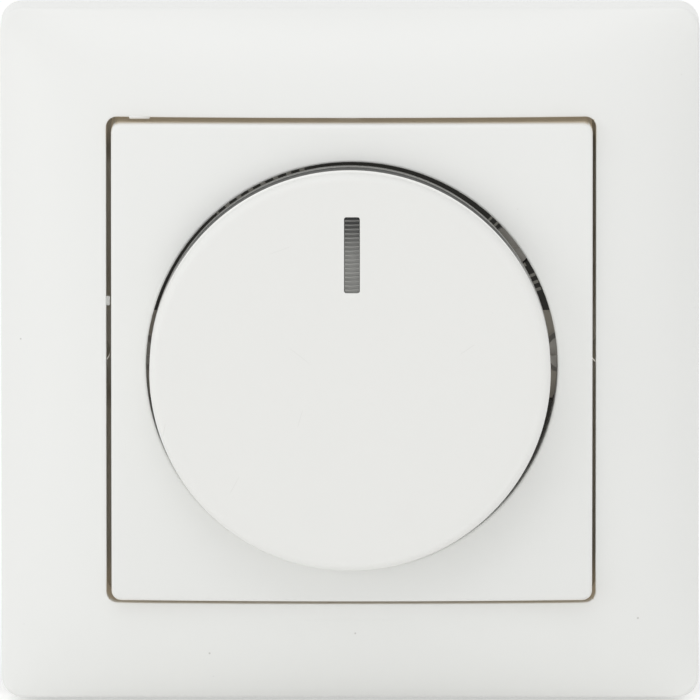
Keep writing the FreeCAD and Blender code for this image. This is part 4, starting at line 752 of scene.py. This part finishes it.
class DIMMER_OT_cover_frame(bpy.types.Operator):
    """Model the pillow shaped cover frame"""

    bl_idname = "dimmer.cover_frame"
    bl_label = "Cover frame"

    def execute(self, context):
        sizes = context.scene.dimmer_frame
        half, opening = sizes.width / 2, sizes.aperture / 2
        dome_share = 0.4
        outer = rounded_loop("frame_outline", half, sizes.corner)
        inner = rounded_loop("frame_opening", opening, sizes.aperture_corner)
        with shaping(inner):
            bpy.ops.mesh.select_all(action="SELECT")
            bpy.ops.transform.resize(value=(1.0, 1 + sizes.taller / sizes.aperture, 1.0))
            bpy.ops.transform.translate(value=(sizes.across, -sizes.drop, 0.0))
        piece = bridged("moulded_frame", outer, inner, cuts=30)

        def fall(place):
            ratio = place / half
            return 1 - dome_share * ratio ** 2 - (1 - dome_share) * ratio ** 8

        lay_on(piece, crowned_form(half, sizes.side, sizes.side + sizes.rise, fall, steps=80))
        split = (half + opening) / 2
        with shaping(piece):
            wall_down(piece, lambda edge: square_reach(edge) > split, 0.0)
            wall_down(piece, lambda edge: square_reach(edge) < split, sizes.floor)
            soften(piece, lambda edge: at_brow(edge) and square_reach(edge) > split, sizes.edge, 4)
            soften(piece, lambda edge: at_brow(edge) and square_reach(edge) < split, sizes.lip, 3)
            face_front(piece)
        finish_modifier(piece, "SOLIDIFY", thickness=sizes.wall, offset=-1.0)
        notch_sides(piece, sizes.notch, reach=opening + 4 * MM, top=sizes.notch_top)
        top_mark = gate_mark(-24.05, opening / MM - 0.06, 2.4, 0.42)
        side_mark = gate_mark(0.2 - opening / MM, 6.75, 0.75, 1.1)
        join(piece, top_mark, side_mark)
        settle(piece, 0.0, sizes.lift)
        wear_finish(piece, made("white_cover", white_cover, context.scene.dimmer_finish))
        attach(piece, "root")
        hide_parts("cover_frame")
        return {"FINISHED"}


def gate_mark(across, up, width, height):
    """A small white nub left by the mould on the opening's edge, its place and size in millimetres."""
    level, depth, edge = 10.4 * MM, 0.7 * MM, 0.18 * MM
    bpy.ops.mesh.primitive_cube_add(size=1.0, location=(across * MM, up * MM, level),
                                    scale=(width * MM, height * MM, depth))
    nub = added("gate_mark")
    bpy.ops.object.transform_apply(location=True, rotation=False, scale=True)
    with shaping(nub):
        bpy.ops.mesh.select_all(action="SELECT")
        bpy.ops.mesh.bevel(offset=edge, segments=3, affect="EDGES")
    return nub


def square_reach(edge):
    """How far an edge lies from the middle, across or up."""
    return max(map(abs, middle(edge).xy))


def round_reach(edge):
    """How far an edge lies from the middle in a straight line."""
    return middle(edge).xy.length


def at_brow(edge):
    """Whether an edge joins a level or sloping face to an upright wall."""
    upright, sloping = 0.05, 0.3
    steeper, flatter = sorted(abs(face.normal.z) for face in edge.link_faces)
    return steeper < upright and flatter > sloping


class DIMMER_OT_central_plate(bpy.types.Operator):
    """Model the square plate with its round opening and latch legs"""

    bl_idname = "dimmer.central_plate"
    bl_label = "Central plate"

    def execute(self, context):
        sizes = context.scene.dimmer_plate
        covers = context.scene.dimmer_frame
        half = sizes.width / 2
        outer = rounded_loop("plate_outline", half, sizes.corner)
        with shaping(outer):
            bpy.ops.mesh.select_all(action="SELECT")
            bpy.ops.transform.resize(value=(1.0, 1 + sizes.taller / sizes.width, 1.0))
        bpy.ops.mesh.primitive_circle_add(vertices=4 * (CORNER_STEPS + SIDE_STEPS), radius=sizes.hole,
                                          fill_type="NOTHING", location=(0.0, -sizes.lift, 0.0))
        piece = bridged("moulded_plate", outer, added("plate_opening"), cuts=3)
        form_depth = 100 * MM

        def fall(place):
            return 1 - place ** 2 / (2 * sizes.bow * form_depth)

        lay_on(piece, crowned_form(half, sizes.top - form_depth, sizes.top, fall, steps=32))
        split = sizes.hole + 1.0 * MM
        with shaping(piece):
            wall_down(piece, lambda edge: round_reach(edge) > split, covers.floor)
            wall_down(piece, lambda edge: round_reach(edge) < split, sizes.collar)
            soften(piece, lambda edge: at_brow(edge) and round_reach(edge) > split, sizes.edge, 6)
            soften(piece, lambda edge: at_brow(edge) and round_reach(edge) < split, sizes.hole_edge, 5)
            face_front(piece)
        finish_modifier(piece, "SOLIDIFY", thickness=sizes.wall, offset=-1.0)
        notch_sides(piece, covers.notch, reach=half + 1 * MM, top=covers.notch_top)
        join(piece, *latch_legs())
        settle(piece, sizes.shift, sizes.lift)
        wear_finish(piece, made("white_cover", white_cover, context.scene.dimmer_finish))
        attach(piece, "root")
        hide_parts("central_plate")
        return {"FINISHED"}


def latch_legs():
    """Four hooked legs that pass through the support plate, each a quarter turn on."""
    inner, thick, hook, hook_slope = 20.8 * MM, 1.5 * MM, 0.9 * MM, 0.85
    low, width = 19.4 * MM, 5.0 * MM
    top, shelf, land, tip = 11.0 * MM, -0.3 * MM, -0.8 * MM, -2.2 * MM
    legs = []
    for quarter in range(4):
        bpy.ops.mesh.primitive_cube_add(
            size=1.0, location=(inner + thick / 2, low + width / 2, (top + tip) / 2),
            scale=(thick, width, top - tip))
        leg = added(f"latch_leg_{quarter}")
        bpy.ops.object.transform_apply(location=True, rotation=False, scale=True)
        with shaping(leg):
            for level in (shelf, land):
                bpy.ops.mesh.select_all(action="SELECT")
                bpy.ops.mesh.bisect(plane_co=(0.0, 0.0, level), plane_no=(0.0, 0.0, 1.0))
            pick(leg, "faces", lambda face: face.normal.x > 0.9 and middle(face).z < shelf)
            bpy.ops.mesh.extrude_region()
            bpy.ops.transform.translate(value=(hook, 0.0, 0.0))
            pick(leg, "verts", lambda vert: vert.co.x > inner + thick + hook / 2 and near(vert.co.z, tip))
            bpy.ops.transform.translate(value=(-hook * hook_slope, 0.0, 0.0))
            bpy.ops.mesh.select_all(action="SELECT")
            bpy.ops.transform.rotate(value=-quarter * math.pi / 2, orient_axis="Z",
                                     center_override=(0.0, 0.0, 0.0))
        legs.append(leg)
    return legs


# The knob


def marker_block(name, width, run, low, high, sizes, corner, along=0.0):
    """A bar with round corners, upright on the knob's face at the marker's place."""
    place = (sizes.marker_shift, sizes.marker_place + along, (low + high) / 2)
    bpy.ops.mesh.primitive_cube_add(size=1.0, location=place, scale=(width, run, high - low))
    bar = added(name)
    bpy.ops.object.transform_apply(location=True, rotation=False, scale=True)
    with shaping(bar):
        pick(bar, "edges", lambda edge: abs(edge.verts[0].co.z - edge.verts[1].co.z) > (high - low) / 2)
        bpy.ops.mesh.bevel(offset=corner, segments=4, affect="EDGES")
    return bar


class DIMMER_OT_rotary_knob(bpy.types.Operator):
    """Model the round knob with its hub and the slot for the marker"""

    bl_idname = "dimmer.rotary_knob"
    bl_label = "Rotary knob"

    def execute(self, context):
        sizes = context.scene.dimmer_knob
        under = sizes.top - sizes.face
        inside = sizes.radius - sizes.wall
        hub_end, bore_end = sizes.end - 0.6 * MM, under + 0.6 * MM
        spare = 1.0 * MM
        bpy.ops.mesh.primitive_cylinder_add(
            vertices=KNOB_STEPS, radius=sizes.radius, depth=sizes.top - sizes.end,
            location=(0.0, 0.0, (sizes.top + sizes.end) / 2))
        piece = added("moulded_knob")
        bpy.ops.object.transform_apply(location=True, rotation=False, scale=False)
        with shaping(piece):
            for inset, level in ((sizes.wall, under), (inside - sizes.hub, hub_end),
                                 (sizes.hub - sizes.bore, bore_end)):
                pick(piece, "faces", underside)
                bpy.ops.mesh.inset(thickness=inset)
                bpy.ops.mesh.extrude_region()
                bpy.ops.transform.resize(value=(1.0, 1.0, 0.0), center_override=(0.0, 0.0, level))
            soften(piece, lambda edge: outer_ring(edge, sizes.radius, sizes.top), sizes.edge, 8)
            soften(piece, lambda edge: outer_ring(edge, sizes.radius, sizes.end), sizes.end_edge, 4)
        cutter = marker_block("slot_cutter", sizes.marker_width, sizes.marker_length,
                              under - spare, sizes.top + spare, sizes, sizes.marker_corner)
        finish_modifier(piece, "BOOLEAN", operation="DIFFERENCE", object=cutter, solver="EXACT")
        bpy.data.objects.remove(cutter)
        settle(piece, smooth=35.0)
        wear_finish(piece, made("white_knob", white_knob, context.scene.dimmer_finish))
        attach(piece, "knob")
        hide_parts("rotary_knob")
        return {"FINISHED"}


def underside(face):
    """Whether a face looks to the wall and has more corners than those of a wall or a fillet."""
    return face.normal.z < -0.9 and len(face.verts) > 10


def outer_ring(edge, away, level):
    """Whether an edge is part of a ring at a distance from the axis and at a level."""
    return all(near(vert.co.z, level) and near(vert.co.xy.length, away) for vert in edge.verts)


class DIMMER_OT_marker_lens(bpy.types.Operator):
    """Model the ribbed light pipe that marks the knob's setting"""

    bl_idname = "dimmer.marker_lens"
    bl_label = "Marker lens"

    def execute(self, context):
        sizes = context.scene.dimmer_knob
        play, recess, groove, sunk = 0.05 * MM, 0.1 * MM, 0.12 * MM, 0.1 * MM
        foot, flange_depth, flange_width = 1.7 * MM, 1.0 * MM, 0.8 * MM
        rib_share, rib_edge, rib_corner = 0.58, 0.05 * MM, 0.02 * MM
        corner = sizes.marker_corner - play
        width, run = sizes.marker_width - 2 * play, sizes.marker_length - 2 * play
        top = sizes.top - recess
        floor = top - groove
        under = sizes.top - sizes.face
        piece = marker_block("ribbed_lens", width, run, under - foot, floor, sizes, corner)
        flange = marker_block("lens_flange", width + 2 * flange_width, run + 2 * flange_width,
                              under - flange_depth, under, sizes, corner)
        count = round(run / sizes.marker_pitch)
        start = -sizes.marker_pitch * (count - 1) / 2
        rib = marker_block("lens_rib", width, sizes.marker_pitch * rib_share, floor - sunk, top, sizes,
                           rib_corner, start)
        with shaping(rib):
            pick(rib, "edges", lambda edge: all(near(vert.co.z, top) for vert in edge.verts))
            bpy.ops.mesh.bevel(offset=rib_edge, segments=2, affect="EDGES")
        finish_modifier(rib, "ARRAY", count=count, use_relative_offset=False, use_constant_offset=True,
                        constant_offset_displace=(0.0, sizes.marker_pitch, 0.0))
        join(piece, flange, rib)
        settle(piece)
        wear_finish(piece, made("smoky_lens", smoky_lens, context.scene.dimmer_finish))
        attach(piece, "knob")
        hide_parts("marker_lens")
        return {"FINISHED"}


# Finishes of the solids that show as they are


class DIMMER_OT_works(bpy.types.Operator):
    """Give the insert, the metal parts and the works behind the wall their finishes"""

    bl_idname = "dimmer.works"
    bl_label = "Finishes of the works"

    def execute(self, context):
        colours = context.scene.dimmer_finish
        zinc = rgb(colours.zinc)
        finishes = {
            "white_cover": made("white_cover", white_cover, colours),
            "black_moulding": black_moulding(colours),
            # The zinc gets painted light in the ring round the knob
            "zinc_steel": plated_steel("zinc_steel", zinc, grain=(1.0, 1.0, 0.12), rough=0.36, glow=0.14),
            "turned_brass": turned_brass(colours),
            "board_laminate": board_laminate(),
            "copper_wire": copper_wire(),
        }
        for looks, maker in ((STEELS, plated_steel), (MOULDINGS, moulded), (GLASSES, clear_glass)):
            for name, values in looks.items():
                finishes[name] = maker(name, *values)
        dressed = {"cover_frame", "central_plate", "rotary_knob", "marker_lens"}
        for part in frame["record"]["subparts"]:
            if part["node"] not in dressed:
                wear_finish(frame["nodes"][part["node"]], finishes[part["material_slot"]])
        return {"FINISHED"}


# The stage


class DimmerStage(bpy.types.PropertyGroup):
    elevation: FloatProperty(name="Elevation", description="Angle of the camera above the knob's axis",
                             default=math.radians(8.5), subtype="ANGLE")
    distance: FloatProperty(name="Distance", description="Distance of the camera from the wall's surface",
                            default=3.0, unit="LENGTH")
    scale: FloatProperty(name="Scale", description="Pixels to a metre in a picture 700 pixels wide",
                         default=8711.0)
    aim: FloatVectorProperty(name="Aim", description="Point that the camera looks at",
                             default=(0.0, 0.0, -0.19 * MM), subtype="TRANSLATION", unit="LENGTH")
    daylight: FloatProperty(name="Daylight", description="Even light from all round", default=0.785)
    fill: FloatProperty(name="Floor fill", description="Light that the floor sends up", default=0.156)
    above: FloatProperty(name="Light above", description="Power of the soft light above the object",
                         default=2.55, unit="POWER")
    beside: FloatProperty(name="Light beside", description="Power of the soft light on the left",
                          default=2.4, unit="POWER")


FLOOR_LEVEL = -40.2 * MM
FLOOR_WIDTH = 8.0
LAMP_WIDTH = 0.9
PLACE_ABOVE = (-0.15, -0.8, 1.15)
PLACE_BESIDE = (-1.15, -0.85, 0.15)
# What the camera sees of the floor glows this much, so that it looks white
SEEN_FLOOR = 0.35
SENSOR_WIDTH = 36.0
PICTURE_WIDTH = 700
VIEW_DEPTH = 30.0
WHITE = (1.0, 1.0, 1.0)


def point(item, direction):
    """Point a lamp or camera along a direction."""
    item.rotation_euler = direction.to_track_quat("-Z", "Y").to_euler()


def lamp(name, place, power):
    """A large soft lamp that faces the object."""
    bpy.ops.object.light_add(type="AREA", location=place)
    light = bpy.context.object
    light.name = name
    light.data.shape = "SQUARE"
    light.data.size = LAMP_WIDTH
    light.data.energy = power
    point(light, -Vector(place))


class DIMMER_OT_stage(bpy.types.Operator):
    """Set up the floor, the light and the camera"""

    bl_idname = "dimmer.stage"
    bl_label = "Stage"

    def execute(self, context):
        stage = context.scene.dimmer_stage
        bpy.ops.mesh.primitive_plane_add(size=FLOOR_WIDTH, location=(0.0, 0.0, FLOOR_LEVEL))
        floor = added("pale_floor")
        wear_finish(floor, pale_floor(stage.fill))
        studio_world(context.scene, stage.daylight)
        lamp("light_above", PLACE_ABOVE, stage.above)
        lamp("light_beside", PLACE_BESIDE, stage.beside)

        bpy.ops.object.camera_add()
        camera = bpy.context.object
        camera.name = "photo_camera"
        aim = Vector(stage.aim)
        away = Vector((0.0, -math.cos(stage.elevation), math.sin(stage.elevation)))
        camera.location = aim + away * stage.distance
        point(camera, -away)
        camera.data.sensor_width = SENSOR_WIDTH
        camera.data.lens = stage.scale * SENSOR_WIDTH * stage.distance / PICTURE_WIDTH
        camera.data.clip_end = VIEW_DEPTH
        context.scene.camera = camera
        context.scene.view_settings.view_transform = "Standard"
        return {"FINISHED"}


def seen(wiring):
    """1 for rays that show the background itself, in a mirror or through glass too."""
    path = wiring.node("ShaderNodeLightPath")
    straight, mirrored, through = (
        Number(wiring, path.outputs[name])
        for name in ("Is Camera Ray", "Is Glossy Ray", "Is Transmission Ray"))
    return straight.above(mirrored).above(through)


def pale_floor(fill):
    """Matt white floor, lifted to white where it is seen, with the object's shadow kept."""
    paint = Paint("pale_floor")
    cloud = paint.noise(3.0, 2.0)
    base = paint.tint((0.80, 0.80, 0.79), 0.99 + cloud * 0.02)
    shader = paint.node("ShaderNodeBsdfPrincipled", {}, {"Base Color": base, "Roughness": 0.9,
                                                       "Specular IOR Level": 0.1})
    sides = []
    for strength in (fill, SEEN_FLOOR):
        glow = paint.node("ShaderNodeEmission", {}, {"Color": WHITE, "Strength": strength})
        lifted = paint.node("ShaderNodeAddShader", {}, {0: shader.outputs[0], 1: glow.outputs[0]})
        sides.append(lifted.outputs[0])
    mix = paint.node("ShaderNodeMixShader", {}, {0: seen(paint), 1: sides[0], 2: sides[1]})
    paint.node("ShaderNodeOutputMaterial", {}, {"Surface": mix.outputs[0]})
    return paint.material


def studio_world(scene, daylight):
    """Even daylight on the object, and plain white where the background is seen."""
    world = bpy.data.worlds.new("studio")
    scene.world = world
    wiring = Wiring(world)
    even = wiring.node("ShaderNodeBackground", {}, {"Color": (0.995, 0.998, 1.0), "Strength": daylight})
    white = wiring.node("ShaderNodeBackground", {}, {"Color": WHITE, "Strength": 1.0})
    mix = wiring.node("ShaderNodeMixShader", {}, {0: seen(wiring), 1: even.outputs[0], 2: white.outputs[0]})
    wiring.node("ShaderNodeOutputWorld", {}, {"Surface": mix.outputs[0]})


class DIMMER_PT_sidebar(bpy.types.Panel):
    bl_label = "Rotary dimmer switch"
    bl_idname = "DIMMER_PT_sidebar"
    bl_space_type = "VIEW_3D"
    bl_region_type = "UI"
    bl_category = "Dimmer"

    def draw(self, context):
        for operator in OPERATORS:
            self.layout.operator(operator.bl_idname)
        for name in GROUPS:
            group = getattr(context.scene, name)
            box = self.layout.box()
            box.label(text=name.replace("_", " ").title())
            for key in group.__annotations__:
                box.prop(group, key)


GROUPS = {
    "dimmer_frame": DimmerFrameSizes,
    "dimmer_plate": DimmerPlateSizes,
    "dimmer_knob": DimmerKnobSizes,
    "dimmer_finish": DimmerFinishes,
    "dimmer_stage": DimmerStage,
}
OPERATORS = (
    DIMMER_OT_cover_frame,
    DIMMER_OT_central_plate,
    DIMMER_OT_rotary_knob,
    DIMMER_OT_marker_lens,
    DIMMER_OT_works,
    DIMMER_OT_stage,
)
CLASSES = (*GROUPS.values(), *OPERATORS, DIMMER_PT_sidebar)


def register():
    for item in CLASSES:
        bpy.utils.register_class(item)
    for name, group in GROUPS.items():
        setattr(bpy.types.Scene, name, PointerProperty(type=group))


def unregister():
    for name in GROUPS:
        delattr(bpy.types.Scene, name)
    for item in reversed(CLASSES):
        bpy.utils.unregister_class(item)


def main():
    register()
    bpy.ops.dimmer.cover_frame()
    bpy.ops.dimmer.central_plate()
    bpy.ops.dimmer.rotary_knob()
    bpy.ops.dimmer.marker_lens()
    bpy.ops.dimmer.works()
    bpy.ops.dimmer.stage()


if __name__ == "__main__":
    main()
